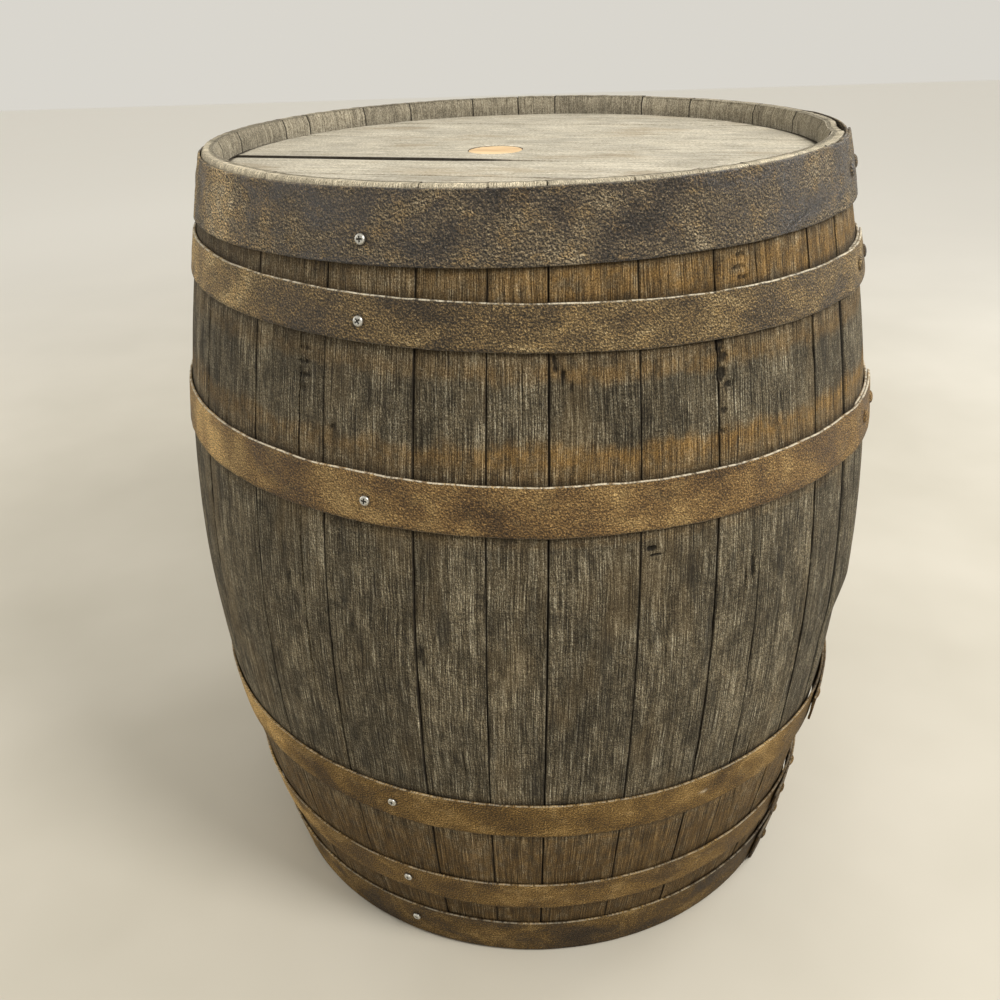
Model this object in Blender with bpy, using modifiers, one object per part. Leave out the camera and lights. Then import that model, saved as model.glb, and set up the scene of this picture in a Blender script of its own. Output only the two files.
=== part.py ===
"""An oak wine cask, standing on one end: staves, two jointed heads, six riveted hoops, screws and bungs.

Metres, +Z up. The origin is on the cask's axis, in the plane it stands on. An azimuth is the angle
round the axis from the front (-Y), positive towards +X, so it is also an object's rotation about Z.
"""

import math

import bmesh
import bpy
from mathutils import Euler, Matrix, Vector

GAP = 0.0003

# The cask's outer shape: a bulged curve from end to end.
HEIGHT = 0.820
BILGE_RADIUS = 0.3715
END_RADIUS = 0.3131
ROUND_SHARE = 1.2

# Staves: the azimuths of the joints between them, in degrees. Coopers mix widths, so none are equal.
STAVE_JOINTS = (
    -57.9, -42.3, -28.8, -15.3, -5.5, 2.6, 14.8, 26.3, 34.0, 45.8, 55.8, 67.0, 78.0, 88.5,
    103.0, 118.0, 137.0, 149.7, 171.4, 180.4, 191.5, 207.2, 219.3, 235.5, 243.5, 262.0, 275.0, 288.5,
)
STAVE_THICKNESS = 0.026
STAVE_LENGTH_STEPS = 12
STAVE_STEP_DEG = 6.5
BUNG_STAVE = 18
SCREWED_STAVE = 3

# The chime, the staves' ends: end grain, an inner bevel, then the bore that the head stands in.
CHIME_FACE = 0.011
CHIME_BEVEL = 0.009
CHIME_BORE = 0.2985
CROZE_DEPTH = 0.0053
HOWEL_END = 0.070

# Heads: boards jointed edge to edge, with a thin tongue all round that fits the croze groove.
HEAD_DEPTH = 0.0204
HEAD_THICKNESS = 0.020
HEAD_FACE_RADIUS = 0.2945
HEAD_RADIUS = 0.2975
HEAD_INNER_RADIUS = 0.272
TONGUE_RADIUS = 0.3025
TONGUE_DROP = 0.0015
TONGUE_THICKNESS = 0.007
TOP_HEAD_TURN = -15.7
TOP_HEAD_SEAMS = (-0.161, -0.073, 0.080, 0.190)
BOTTOM_HEAD_TURN = 24.0
BOTTOM_HEAD_SEAMS = (-0.172, -0.062, 0.058, 0.166)
HEAD_SIDES = 48
DOWEL_RADIUS = 0.0045
DOWEL_LENGTH = 0.050
DOWEL_SHIFT = 0.045

# Bungs: tapered plugs, one flush in the head, one slightly proud in the bilge.
HEAD_BUNG_RADIUS = 0.0275
HEAD_BUNG_TAPER = 0.0015
HEAD_BUNG_ALONG = -0.0236
HEAD_BUNG_ACROSS = -0.0102
BILGE_BUNG_RADIUS = 0.0260
BILGE_BUNG_TAPER = 0.0025
BILGE_BUNG_PROUD = 0.006
BUNG_SIDES = 20

# Hoops: strips bent to a ring and lapped over themselves. Each has its own height, width, tilt
# (rise per metre along X and Y, as it was driven on) and the azimuth of its lap. way is the sense it
# was wound in: the strip's outer end is past the lap at 1 and short of it at -1. The lower hoops are
# the upper ones' mirror images, because they were driven on from the other end. screw is the azimuth
# of its screw and that screw's rise over its centre line.
HOOP_THICKNESS = 0.0022
HOOP_STEPS = 60
HOOP_CLEARANCE = 0.0007
LAP_STEPS = 3
LAP_CLIP = 0.008
RIVET_SPLAY_DEG = 4.3
HOOPS = {
    "upper_head_hoop": {
        "height": 0.7892, "width": 0.056, "tilt": (0.007, 0.0), "lap": 70.8, "way": 1,
        "screw": (-22.4, -0.0090),
    },
    "upper_quarter_hoop": {
        "height": 0.7198, "width": 0.037, "tilt": (-0.030, 0.0095), "lap": 69.7, "way": 1,
        "screw": (-22.5, -0.0024),
    },
    "upper_bilge_hoop": {
        "height": 0.5727, "width": 0.044, "tilt": (-0.025, 0.0044), "lap": 68.3, "way": 1,
        "screw": (-21.7, -0.0016),
    },
    "lower_bilge_hoop": {
        "height": 0.2422, "width": 0.045, "tilt": (-0.021, 0.0195), "lap": 66.7, "way": -1,
        "screw": (-22.4, 0.0008),
    },
    "lower_quarter_hoop": {
        "height": 0.1141, "width": 0.041, "tilt": (-0.010, 0.012), "lap": 61.5, "way": -1,
        "screw": (-23.0, 0.0025),
    },
    "lower_head_hoop": {
        "height": 0.0296, "width": 0.055, "tilt": (0.0, 0.0), "lap": 61.5, "way": -1,
        "screw": (-23.9, 0.0040),
    },
}

# Rivets close each lap. One screw through each hoop, all up one stave, stops it working loose.
RIVET_RADIUS = 0.0065
RIVET_HEIGHT = 0.0030
RIVET_SHANK = 0.0030
RIVET_SIDES = 10
SCREW_HEAD_RADIUS = 0.0045
SCREW_HEAD_HEIGHT = 0.0026
SCREW_SHANK_RADIUS = 0.0020
SCREW_SHANK_LENGTH = 0.0155
SCREW_LIFT = 0.0005
SCREW_SIDES = 12
SCREW_HOLE_RADIUS = 0.0024
SCREW_HOLE_DEPTH = 0.0165
CROSS_LENGTH = 0.0048
CROSS_WIDTH = 0.0011
CROSS_DEPTH = 0.0013


def outer_radius(z):
    """Radius of the staves' outer face at height z."""
    u = 2.0 * z / HEIGHT - 1.0
    return BILGE_RADIUS - (BILGE_RADIUS - END_RADIUS) * (ROUND_SHARE * u**2 + (1.0 - ROUND_SHARE) * u**4)


def outer_normal_angle(z):
    """Angle from +Z down to the outer face's normal at height z, 90 degrees at mid height."""
    slope = (outer_radius(z + 0.001) - outer_radius(z - 0.001)) / 0.002
    return math.pi / 2 + math.atan(slope)


def around(azimuth, radius, z=0.0):
    """The point at an azimuth in degrees and a radius from the cask's axis."""
    angle = math.radians(azimuth)
    return Vector((radius * math.sin(angle), -radius * math.cos(angle), z))


def clear_scene():
    for old in list(bpy.data.objects):
        bpy.data.objects.remove(old, do_unlink=True)


def make_collection(name):
    collection = bpy.data.collections.new(name)
    bpy.context.scene.collection.children.link(collection)
    return collection


def make_material(name, colour, roughness, metallic):
    material = bpy.data.materials.new(name)
    material.use_nodes = True
    surface = material.node_tree.nodes["Principled BSDF"]
    surface.inputs["Base Color"].default_value = (*colour, 1.0)
    surface.inputs["Roughness"].default_value = roughness
    surface.inputs["Metallic"].default_value = metallic
    material.diffuse_color = (*colour, 1.0)
    return material


def mesh_from(bm, name):
    """Writes bm into a new mesh with its faces pointing out and its round sides shaded smooth."""
    bmesh.ops.recalc_face_normals(bm, faces=bm.faces)
    mesh = bpy.data.meshes.new(name)
    bm.to_mesh(mesh)
    bm.free()
    mesh.shade_smooth()
    mesh.set_sharp_from_angle(angle=math.radians(30))
    return mesh


def add_part(name, mesh, material, location=(0, 0, 0), rotation=(0, 0, 0)):
    """Adds a sub-part to the cask, with one material."""
    part = bpy.data.objects.new(name, mesh)
    if not mesh.materials:
        mesh.materials.append(material)
    part.location = location
    part.rotation_euler = rotation
    cask.objects.link(part)
    return part


def add_cutter(name, mesh, location=(0, 0, 0), rotation=(0, 0, 0)):
    """Adds a helper that cuts or joins a sub-part and isn't one itself."""
    cutter = bpy.data.objects.new(name, mesh)
    cutter.location = location
    cutter.rotation_euler = rotation
    cutter.display_type = "WIRE"
    cutter.hide_render = True
    cutters.objects.link(cutter)
    return cutter


def boolean(part, operation, tool):
    modifier = part.modifiers.new(f"{operation.lower()} {tool.name}", "BOOLEAN")
    modifier.operation = operation
    modifier.object = tool


def profile_mesh(name, points):
    """An open outline in the XZ plane, for a Screw modifier."""
    bm = bmesh.new()
    rim = [bm.verts.new((x, 0.0, z)) for x, z in points]
    for start, end in zip(rim, rim[1:]):
        bm.edges.new((start, end))
    mesh = bpy.data.meshes.new(name)
    bm.to_mesh(mesh)
    bm.free()
    return mesh


def turn(part, sides):
    """Turns an outline round its object's Z axis. At +X it runs down its outer side."""
    modifier = part.modifiers.new("turned", "SCREW")
    modifier.steps = sides
    modifier.render_steps = sides
    modifier.use_merge_vertices = True
    modifier.merge_threshold = 0.00001
    return part


def rod_mesh(name, radius, length, sides):
    """A solid round bar along Z, centred on its origin."""
    bm = bmesh.new()
    bmesh.ops.create_cone(bm, cap_ends=True, segments=sides, radius1=radius, radius2=radius, depth=length)
    return mesh_from(bm, name)


def chime_outline():
    """Radius and depth below the cask's end of the chime's inner side, from the end inwards."""
    groove_top = HEAD_DEPTH + TONGUE_DROP - GAP
    groove_bottom = HEAD_DEPTH + TONGUE_DROP + TONGUE_THICKNESS + GAP
    return (
        (END_RADIUS - CHIME_FACE, 0.0),
        (CHIME_BORE, CHIME_BEVEL),
        (CHIME_BORE, groove_top),
        (CHIME_BORE + CROZE_DEPTH, groove_top),
        (CHIME_BORE + CROZE_DEPTH, groove_bottom),
        (CHIME_BORE, groove_bottom),
    )


def stave_section():
    """The stave's long section, as radius and height, all the way round."""
    step = HEIGHT / STAVE_LENGTH_STEPS
    outside = [(outer_radius(i * step), i * step) for i in range(STAVE_LENGTH_STEPS + 1)]
    top = [(radius, HEIGHT - depth) for radius, depth in chime_outline()]
    bottom = [(radius, depth) for radius, depth in reversed(chime_outline())]
    inner_steps = STAVE_LENGTH_STEPS // 2
    heights = [
        HEIGHT - HOWEL_END - i * (HEIGHT - 2 * HOWEL_END) / inner_steps for i in range(inner_steps + 1)
    ]
    inside = [(outer_radius(z) - STAVE_THICKNESS, z) for z in heights]
    return outside + top + inside + bottom


def stave_mesh(name, width):
    """A stave of this width in degrees, centred on the front: its long section swept round the axis."""
    gap_angle = math.degrees(GAP / CHIME_BORE)
    sweep = width - gap_angle
    bm = bmesh.new()
    edge = [bm.verts.new(around(-sweep / 2, radius, z)) for radius, z in stave_section()]
    side = bm.faces.new(edge)
    bmesh.ops.spin(
        bm,
        geom=[side, *side.edges, *side.verts],
        cent=(0, 0, 0),
        axis=(0, 0, 1),
        angle=math.radians(sweep),
        steps=max(2, round(width / STAVE_STEP_DEG)),
    )
    return mesh_from(bm, name)


def build_staves():
    """The ring of staves. Returns them in order round the cask."""
    staves = []
    starts = list(STAVE_JOINTS)
    ends = starts[1:] + [starts[0] + 360.0]
    for number, (start, end) in enumerate(zip(starts, ends), 1):
        name = "bung_stave" if number == BUNG_STAVE else f"stave_{number:02d}"
        turned = math.radians((start + end) / 2)
        staves.append(add_part(name, stave_mesh(name, end - start), stave_oak, rotation=(0, 0, turned)))
    return staves


def head_disc():
    """The whole head as one turned disc, its outer face at z = 0 and its thickness below it."""
    tongue_bottom = -TONGUE_DROP - TONGUE_THICKNESS
    outline = (
        (HEAD_FACE_RADIUS, 0.0),
        (HEAD_RADIUS, -TONGUE_DROP),
        (TONGUE_RADIUS, -TONGUE_DROP),
        (TONGUE_RADIUS, tongue_bottom),
        (HEAD_RADIUS, tongue_bottom),
        (HEAD_INNER_RADIUS, -HEAD_THICKNESS),
    )
    bm = bmesh.new()
    rim = [bm.verts.new((radius, 0.0, z)) for radius, z in outline]
    edges = [bm.edges.new(pair) for pair in zip(rim, rim[1:])]
    around_z = {"cent": (0, 0, 0), "axis": (0, 0, 1), "angle": math.tau, "steps": HEAD_SIDES}
    bmesh.ops.spin(bm, geom=[*rim, *edges], use_merge=True, **around_z)
    bmesh.ops.holes_fill(bm, edges=[edge for edge in bm.edges if edge.is_boundary], sides=0)
    return bm


def board_mesh(name, low, high):
    """A head board: what the sawn edges at y = low and y = high leave of the disc."""
    bm = head_disc()
    for edge, direction in ((low, -1), (high, 1)):
        if abs(edge) > TONGUE_RADIUS:
            continue
        everything = [*bm.verts, *bm.edges, *bm.faces]
        plane = {"plane_co": (0, edge, 0), "plane_no": (0, direction, 0)}
        cut = bmesh.ops.bisect_plane(bm, geom=everything, dist=0.000001, clear_outer=True, **plane)
        sawn = [item for item in cut["geom_cut"] if isinstance(item, bmesh.types.BMEdge)]
        bmesh.ops.contextual_create(bm, geom=sawn)
    return mesh_from(bm, name)


def build_head(side, seams, turn_deg, face_height, flip):
    """One head: its boards and the dowels that pin them edge to edge. Returns the boards."""
    rotation = (math.pi if flip else 0.0, 0.0, math.radians(turn_deg))
    placed = Matrix.Translation((0, 0, face_height)) @ Matrix.Rotation(math.radians(turn_deg), 4, "Z")
    if flip:
        placed = placed @ Matrix.Rotation(math.pi, 4, "X")
    edges = (-1.0, *seams, 1.0)
    boards = []
    for number, (low, high) in enumerate(zip(edges, edges[1:]), 1):
        name = f"{side}_head_board_{number}"
        mesh = board_mesh(name, low + GAP / 2, high - GAP / 2)
        boards.append(add_part(name, mesh, head_oak, (0, 0, face_height), rotation))
    dowel = rod_mesh("head dowel", DOWEL_RADIUS, DOWEL_LENGTH, 8)
    hole = rod_mesh("dowel hole", DOWEL_RADIUS + GAP, DOWEL_LENGTH + 2 * GAP, 8)
    for number, seam in enumerate(seams, 1):
        shift = DOWEL_SHIFT if number % 2 else -DOWEL_SHIFT
        centre = placed @ Vector((shift, seam, -HEAD_THICKNESS / 2))
        across = (math.pi / 2, 0.0, math.radians(turn_deg))
        add_part(f"{side}_head_dowel_{number}", dowel, dowel_oak, centre, across)
        cutter = add_cutter(f"{side} dowel hole {number}", hole, centre, across)
        boolean(boards[number - 1], "DIFFERENCE", cutter)
        boolean(boards[number], "DIFFERENCE", cutter)
    return boards


def bung_outline(radius, taper, length, edge=0.001):
    """A tapered plug with its small end at z = 0, broken at the edge of its large end."""
    return ((0.0, length), (radius - edge, length), (radius, length - edge), (radius - taper, 0.0), (0.0, 0.0))


def hole_mesh(name, radius, taper, length, reach):
    """The tapered hole that a bung of these sizes sits in, running on past both of its faces."""
    slope = taper / length
    bm = bmesh.new()
    bmesh.ops.create_cone(
        bm,
        cap_ends=True,
        segments=BUNG_SIDES,
        radius1=radius + GAP - taper - slope * reach,
        radius2=radius + GAP + slope * reach,
        depth=length + 2 * reach,
    )
    bmesh.ops.rotate(bm, verts=bm.verts, cent=(0, 0, 0), matrix=Matrix.Rotation(math.pi / 2, 3, "Z"))
    bmesh.ops.translate(bm, verts=bm.verts, vec=(0, 0, length / 2))
    return mesh_from(bm, name)


def build_head_bung(board):
    """The flush plug in the top head. It lifts straight out along +Z."""
    foot = HEIGHT - HEAD_DEPTH - HEAD_THICKNESS
    turned = Matrix.Rotation(math.radians(TOP_HEAD_TURN), 3, "Z")
    place = turned @ Vector((HEAD_BUNG_ALONG, HEAD_BUNG_ACROSS, 0.0)) + Vector((0, 0, foot))
    outline = bung_outline(HEAD_BUNG_RADIUS, HEAD_BUNG_TAPER, HEAD_THICKNESS)
    turn(add_part("head_bung", profile_mesh("head bung", outline), plug_wood, place), BUNG_SIDES)
    hole = hole_mesh("head bung hole", HEAD_BUNG_RADIUS, HEAD_BUNG_TAPER, HEAD_THICKNESS, 0.01)
    boolean(board, "DIFFERENCE", add_cutter("head bung hole", hole, place))


def build_bilge_bung(stave):
    """The bung at the widest stave's middle. It pulls straight out from the cask's axis."""
    azimuth = math.degrees(stave.rotation_euler.z)
    length = STAVE_THICKNESS + BILGE_BUNG_PROUD
    place = around(azimuth, BILGE_RADIUS - STAVE_THICKNESS, HEIGHT / 2)
    rotation = (math.pi / 2, 0.0, math.radians(azimuth))
    outline = bung_outline(BILGE_BUNG_RADIUS, BILGE_BUNG_TAPER, length, 0.002)
    turn(add_part("bilge_bung", profile_mesh("bilge bung", outline), bung_wood, place, rotation), BUNG_SIDES)
    hole = hole_mesh("bilge bung hole", BILGE_BUNG_RADIUS, BILGE_BUNG_TAPER, length, 0.01)
    boolean(stave, "DIFFERENCE", add_cutter("bilge bung hole", hole, place, rotation))


def hoop_point(hoop, azimuth, edge, lift):
    """A point of a hoop's inner face raised by lift. edge is -1 at its lower edge and 1 at its upper."""
    middle = around(azimuth, outer_radius(hoop["height"]))
    z = hoop["height"] + edge * hoop["width"] / 2 + middle.x * hoop["tilt"][0] + middle.y * hoop["tilt"][1]
    flat_side = math.cos(math.pi / HOOP_STEPS)
    return around(azimuth, (outer_radius(z) + HOOP_CLEARANCE) / flat_side + lift, z)


def hoop_section(hoop, azimuth, lift, clip=0.0):
    """The strip's four corners at one azimuth, narrowed by clip at both edges."""
    edge = 1.0 - 2.0 * clip / hoop["width"]
    outside = lift + HOOP_THICKNESS
    return [
        hoop_point(hoop, azimuth, -edge, lift),
        hoop_point(hoop, azimuth, edge, lift),
        hoop_point(hoop, azimuth, edge, outside),
        hoop_point(hoop, azimuth, -edge, outside),
    ]


def hoop_mesh(name, hoop):
    """One strip bent round the cask, its end riding over its beginning, with clipped corners."""
    step = 360.0 / HOOP_STEPS
    first = hoop["lap"] - hoop["way"] * LAP_STEPS * step / 2
    raised = HOOP_THICKNESS + GAP
    sections = []
    for i in range(HOOP_STEPS + LAP_STEPS):
        azimuth = first + hoop["way"] * i * step
        sections.append(hoop_section(hoop, azimuth, raised if i >= HOOP_STEPS else 0.0))
    last_azimuth = first + hoop["way"] * (HOOP_STEPS + LAP_STEPS) * step
    full_end = hoop_section(hoop, last_azimuth, raised)
    part_way = 1.0 - LAP_CLIP / math.dist(sections[-1][0], full_end[0])
    sections.append([near.lerp(far, part_way) for near, far in zip(sections[-1], full_end)])
    sections.append(hoop_section(hoop, last_azimuth, raised, LAP_CLIP))
    bm = bmesh.new()
    rings = [[bm.verts.new(corner) for corner in section] for section in sections]
    for here, onward in zip(rings, rings[1:]):
        for i in range(4):
            bm.faces.new((here[i - 1], here[i], onward[i], onward[i - 1]))
    bm.faces.new(rings[0])
    bm.faces.new(reversed(rings[-1]))
    return mesh_from(bm, name)


def on_hoop(hoop, azimuth, lift, rise=0.0):
    """Place and rotation of a fastener at a rise over the hoop's centre line, its axis along the normal."""
    lower = hoop_point(hoop, azimuth, -1.0, lift)
    upper = hoop_point(hoop, azimuth, 1.0, lift)
    place = lower.lerp(upper, 0.5 + rise / hoop["width"])
    return place, (outer_normal_angle(place.z), 0.0, math.radians(azimuth))


def rivet_outline():
    """A domed head, sunk a little into the strip, over a shank that ends inside the inner strip."""
    dome = [(0.0, RIVET_HEIGHT - GAP)]
    for angle in (math.radians(60), math.radians(30), 0.0):
        dome.append((RIVET_RADIUS * math.cos(angle), RIVET_HEIGHT * math.sin(angle) - GAP))
    depth = -1.5 * HOOP_THICKNESS
    return (*dome, (RIVET_SHANK, -GAP), (RIVET_SHANK, depth), (0.0, depth))


def screw_outline():
    """A pan head, its underside at z = 0, over a pointed shank."""
    crown = SCREW_HEAD_RADIUS * 0.6
    point = SCREW_SHANK_LENGTH - 2 * SCREW_SHANK_RADIUS
    return (
        (0.0, SCREW_HEAD_HEIGHT),
        (crown, SCREW_HEAD_HEIGHT * 0.94),
        (SCREW_HEAD_RADIUS * 0.92, SCREW_HEAD_HEIGHT * 0.62),
        (SCREW_HEAD_RADIUS, SCREW_HEAD_HEIGHT * 0.25),
        (SCREW_HEAD_RADIUS * 0.97, 0.0),
        (SCREW_SHANK_RADIUS, 0.0),
        (SCREW_SHANK_RADIUS, -point),
        (0.0, -SCREW_SHANK_LENGTH),
    )


def cross_mesh():
    """The driver's cross recess: a plus sign given twice the recess's depth, so it cuts to that depth."""
    bm = bmesh.new()
    outline = []
    for quarter in range(4):
        turned = Matrix.Rotation(quarter * math.pi / 2, 3, "Z")
        for x, y in ((CROSS_LENGTH, -CROSS_WIDTH), (CROSS_LENGTH, CROSS_WIDTH), (CROSS_WIDTH, CROSS_WIDTH)):
            outline.append(turned @ Vector((x / 2, y / 2, -CROSS_DEPTH)))
    base = bm.faces.new([bm.verts.new(point) for point in outline])
    swept = bmesh.ops.extrude_face_region(bm, geom=[base])
    raised = [item for item in swept["geom"] if isinstance(item, bmesh.types.BMVert)]
    bmesh.ops.translate(bm, verts=raised, vec=(0, 0, 2 * CROSS_DEPTH))
    return mesh_from(bm, "cross recess")


def build_hoops(screwed_stave):
    """The hoops, each with its two rivets joined on, its screw, and the hole that screw goes through."""
    rivet = profile_mesh("rivet", rivet_outline())
    screw = profile_mesh("hoop screw", screw_outline())
    cross = cross_mesh()
    hoop_hole = rod_mesh("hoop hole", SCREW_HOLE_RADIUS, 0.02, SCREW_SIDES)
    stave_hole = rod_mesh("stave hole", SCREW_HOLE_RADIUS, 2 * SCREW_HOLE_DEPTH, SCREW_SIDES)
    for name, hoop in HOOPS.items():
        ring = add_part(name, hoop_mesh(name, hoop), hoop_steel)
        for number, shift in enumerate((-RIVET_SPLAY_DEG, RIVET_SPLAY_DEG), 1):
            place, rotation = on_hoop(hoop, hoop["lap"] + shift, 2 * HOOP_THICKNESS + GAP)
            helper = add_cutter(f"{name} rivet {number}", rivet, place, rotation)
            boolean(ring, "UNION", turn(helper, RIVET_SIDES))
        azimuth, rise = hoop["screw"]
        place, rotation = on_hoop(hoop, azimuth, HOOP_THICKNESS, rise)
        boolean(ring, "DIFFERENCE", add_cutter(f"{name} hole", hoop_hole, place, rotation))
        stave_cutter = add_cutter(f"{name} stave hole", stave_hole, place, rotation)
        boolean(screwed_stave, "DIFFERENCE", stave_cutter)
        place, rotation = on_hoop(hoop, azimuth, HOOP_THICKNESS + SCREW_LIFT, rise)
        fastener = turn(add_part(f"{name}_screw", screw, screw_zinc, place, rotation), SCREW_SIDES)
        crown = place + Euler(rotation).to_matrix() @ Vector((0.0, 0.0, SCREW_HEAD_HEIGHT))
        boolean(fastener, "DIFFERENCE", add_cutter(f"{name} cross", cross, crown, rotation))


clear_scene()
cask = make_collection("oak wine cask")
cutters = make_collection("cutters")
stave_oak = make_material("stave oak", (0.23, 0.19, 0.15), 0.8, 0.0)
head_oak = make_material("head oak", (0.42, 0.38, 0.33), 0.85, 0.0)
dowel_oak = make_material("dowel oak", (0.48, 0.34, 0.2), 0.7, 0.0)
plug_wood = make_material("plug wood", (0.78, 0.55, 0.33), 0.6, 0.0)
bung_wood = make_material("bung wood", (0.36, 0.22, 0.12), 0.6, 0.0)
hoop_steel = make_material("hoop steel", (0.13, 0.08, 0.06), 0.7, 0.4)
screw_zinc = make_material("screw zinc", (0.72, 0.72, 0.7), 0.35, 1.0)

ring_of_staves = build_staves()
top_boards = build_head("top", TOP_HEAD_SEAMS, TOP_HEAD_TURN, HEIGHT - HEAD_DEPTH, flip=False)
build_head("bottom", BOTTOM_HEAD_SEAMS, BOTTOM_HEAD_TURN, HEAD_DEPTH, flip=True)
build_head_bung(top_boards[2])
build_bilge_bung(ring_of_staves[BUNG_STAVE - 1])
build_hoops(ring_of_staves[SCREWED_STAVE - 1])
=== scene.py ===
"""The looks of an old oak wine cask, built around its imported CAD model.

Metres, +Z up. The origin is on the cask's axis, in the plane it stands on. An azimuth is the angle
round the axis from the front (-Y), positive towards +X, so it is also an object's rotation about Z.
"""

import math

import bpy
import numpy as np
from mathutils import Matrix, Vector


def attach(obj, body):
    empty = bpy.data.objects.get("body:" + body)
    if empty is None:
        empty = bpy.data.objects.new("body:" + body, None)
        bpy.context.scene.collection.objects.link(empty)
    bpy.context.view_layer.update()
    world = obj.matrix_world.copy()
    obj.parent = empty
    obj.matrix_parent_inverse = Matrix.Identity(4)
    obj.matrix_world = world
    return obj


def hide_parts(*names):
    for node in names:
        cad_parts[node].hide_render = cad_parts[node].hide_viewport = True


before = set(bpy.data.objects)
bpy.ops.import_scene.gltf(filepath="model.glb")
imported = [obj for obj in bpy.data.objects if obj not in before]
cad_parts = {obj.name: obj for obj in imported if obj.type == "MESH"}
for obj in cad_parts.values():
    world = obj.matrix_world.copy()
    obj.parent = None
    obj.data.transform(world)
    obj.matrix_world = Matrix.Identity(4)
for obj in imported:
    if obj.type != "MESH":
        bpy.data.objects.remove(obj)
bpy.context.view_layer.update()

# Shapes that the looks share with the CAD model.
GAP = 0.0003
HEIGHT = 0.820
BILGE_RADIUS = 0.3715
END_RADIUS = 0.3131
ROUND_SHARE = 1.2
STAVE_JOINTS = (
    -57.9, -42.3, -28.8, -15.3, -5.5, 2.6, 14.8, 26.3, 34.0, 45.8, 55.8, 67.0, 78.0, 88.5,
    103.0, 118.0, 137.0, 149.7, 171.4, 180.4, 191.5, 207.2, 219.3, 235.5, 243.5, 262.0, 275.0, 288.5,
)
STAVE_THICKNESS = 0.026
BUNG_STAVE = 18
CHIME_FACE = 0.011
CHIME_BEVEL = 0.009
CHIME_BORE = 0.2985
CROZE_DEPTH = 0.0053
HOWEL_END = 0.070
HEAD_DEPTH = 0.0204
HEAD_THICKNESS = 0.020
HEAD_FACE_RADIUS = 0.2945
HEAD_RADIUS = 0.2975
HEAD_INNER_RADIUS = 0.272
TONGUE_RADIUS = 0.3025
TONGUE_DROP = 0.0015
TONGUE_THICKNESS = 0.007
HEADS = {
    "top": {"turn": -15.7, "seams": (-0.161, -0.073, 0.080, 0.190), "face": HEIGHT - HEAD_DEPTH},
    "bottom": {"turn": 24.0, "seams": (-0.172, -0.062, 0.058, 0.166), "face": HEAD_DEPTH},
}
HEAD_BUNG_RADIUS = 0.0275
HEAD_BUNG_TAPER = 0.0015
HEAD_BUNG_PLACE = (-0.0236, -0.0102)
BILGE_BUNG_RADIUS = 0.0260
BILGE_BUNG_TAPER = 0.0025
BILGE_BUNG_PROUD = 0.006
HOOP_THICKNESS = 0.0022
HOOP_CLEARANCE = 0.0009
LAP_DEG = 18.0
LAP_CLIP = 0.008
RIVET_SPLAY_DEG = 4.3
RIVET_RADIUS = 0.0065
RIVET_HEIGHT = 0.0030
SCREW_HEAD_RADIUS = 0.0045
SCREW_HEAD_HEIGHT = 0.0026
SCREW_SHANK_RADIUS = 0.0020
SCREW_SHANK_LENGTH = 0.0155
SCREW_TIP = 0.004
SCREW_LIFT = 0.0005
CROSS_LENGTH = 0.0048
CROSS_WIDTH = 0.0011
CROSS_DEPTH = 0.0013

# Each hoop's place, winding and screw (azimuth, rise over its centre line) as in the CAD model, then its
# looks. relief is the height of its hammer marks, wave that of its edges' waver, loose how far it stands
# off near its lap and flare how far its end does, in metres. above and below say how strongly it has
# rusted the staves next to it, and over what width.
HOOPS = {
    "upper_head_hoop": {
        "height": 0.7892, "width": 0.056, "tilt": (0.007, 0.0), "lap": 70.8, "way": 1, "loose": 0.0,
        "screw": (-22.4, -0.0090), "look": "hammered",
        "relief": 0.00070, "wave": 0.0004, "flare": 0.0004, "above": (0.5, 0.004), "below": (0.95, 0.036),
    },
    "upper_quarter_hoop": {
        "height": 0.7198, "width": 0.037, "tilt": (-0.030, 0.0095), "lap": 69.7, "way": 1, "loose": 0.0004,
        "screw": (-22.5, -0.0024), "look": "speckled",
        "relief": 0.00032, "wave": 0.0005, "flare": 0.0006, "above": (0.9, 0.030), "below": (0.6, 0.026),
    },
    "upper_bilge_hoop": {
        "height": 0.5727, "width": 0.044, "tilt": (-0.025, 0.0044), "lap": 68.3, "way": 1, "loose": 0.0004,
        "screw": (-21.7, -0.0016), "look": "ochre",
        "relief": 0.00032, "wave": 0.0007, "flare": 0.0006, "above": (1.0, 0.034), "below": (0.25, 0.012),
    },
    "lower_bilge_hoop": {
        "height": 0.2422, "width": 0.045, "tilt": (-0.021, 0.0195), "lap": 66.7, "way": -1, "loose": 0.0030,
        "screw": (-22.4, 0.0008), "look": "smooth",
        "relief": 0.00020, "wave": 0.0005, "flare": 0.0022, "above": (0.12, 0.010), "below": (0.75, 0.018),
    },
    "lower_quarter_hoop": {
        "height": 0.1141, "width": 0.041, "tilt": (-0.010, 0.012), "lap": 61.5, "way": -1, "loose": 0.0018,
        "screw": (-23.0, 0.0025), "look": "smooth",
        "relief": 0.00020, "wave": 0.0005, "flare": 0.0022, "above": (0.25, 0.012), "below": (0.8, 0.018),
    },
    "lower_head_hoop": {
        "height": 0.0296, "width": 0.055, "tilt": (0.0, 0.0), "lap": 61.5, "way": -1, "loose": 0.0016,
        "screw": (-23.9, 0.0040), "look": "dark",
        "relief": 0.00014, "wave": 0.0003, "flare": 0.0016, "above": (0.6, 0.014), "below": (0.3, 0.004),
    },
}


# ---------------------------------------------------------------- shapes


def outer_radius(z):
    """Radius of the staves' outer face at height z."""
    u = 2.0 * z / HEIGHT - 1.0
    return BILGE_RADIUS - (BILGE_RADIUS - END_RADIUS) * (ROUND_SHARE * u**2 + (1.0 - ROUND_SHARE) * u**4)


def outer_normal_angle(z):
    """Angle from +Z down to the outer face's normal at height z, 90 degrees at mid height."""
    slope = (outer_radius(z + 0.001) - outer_radius(z - 0.001)) / 0.002
    return math.pi / 2 + math.atan(slope)


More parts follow.
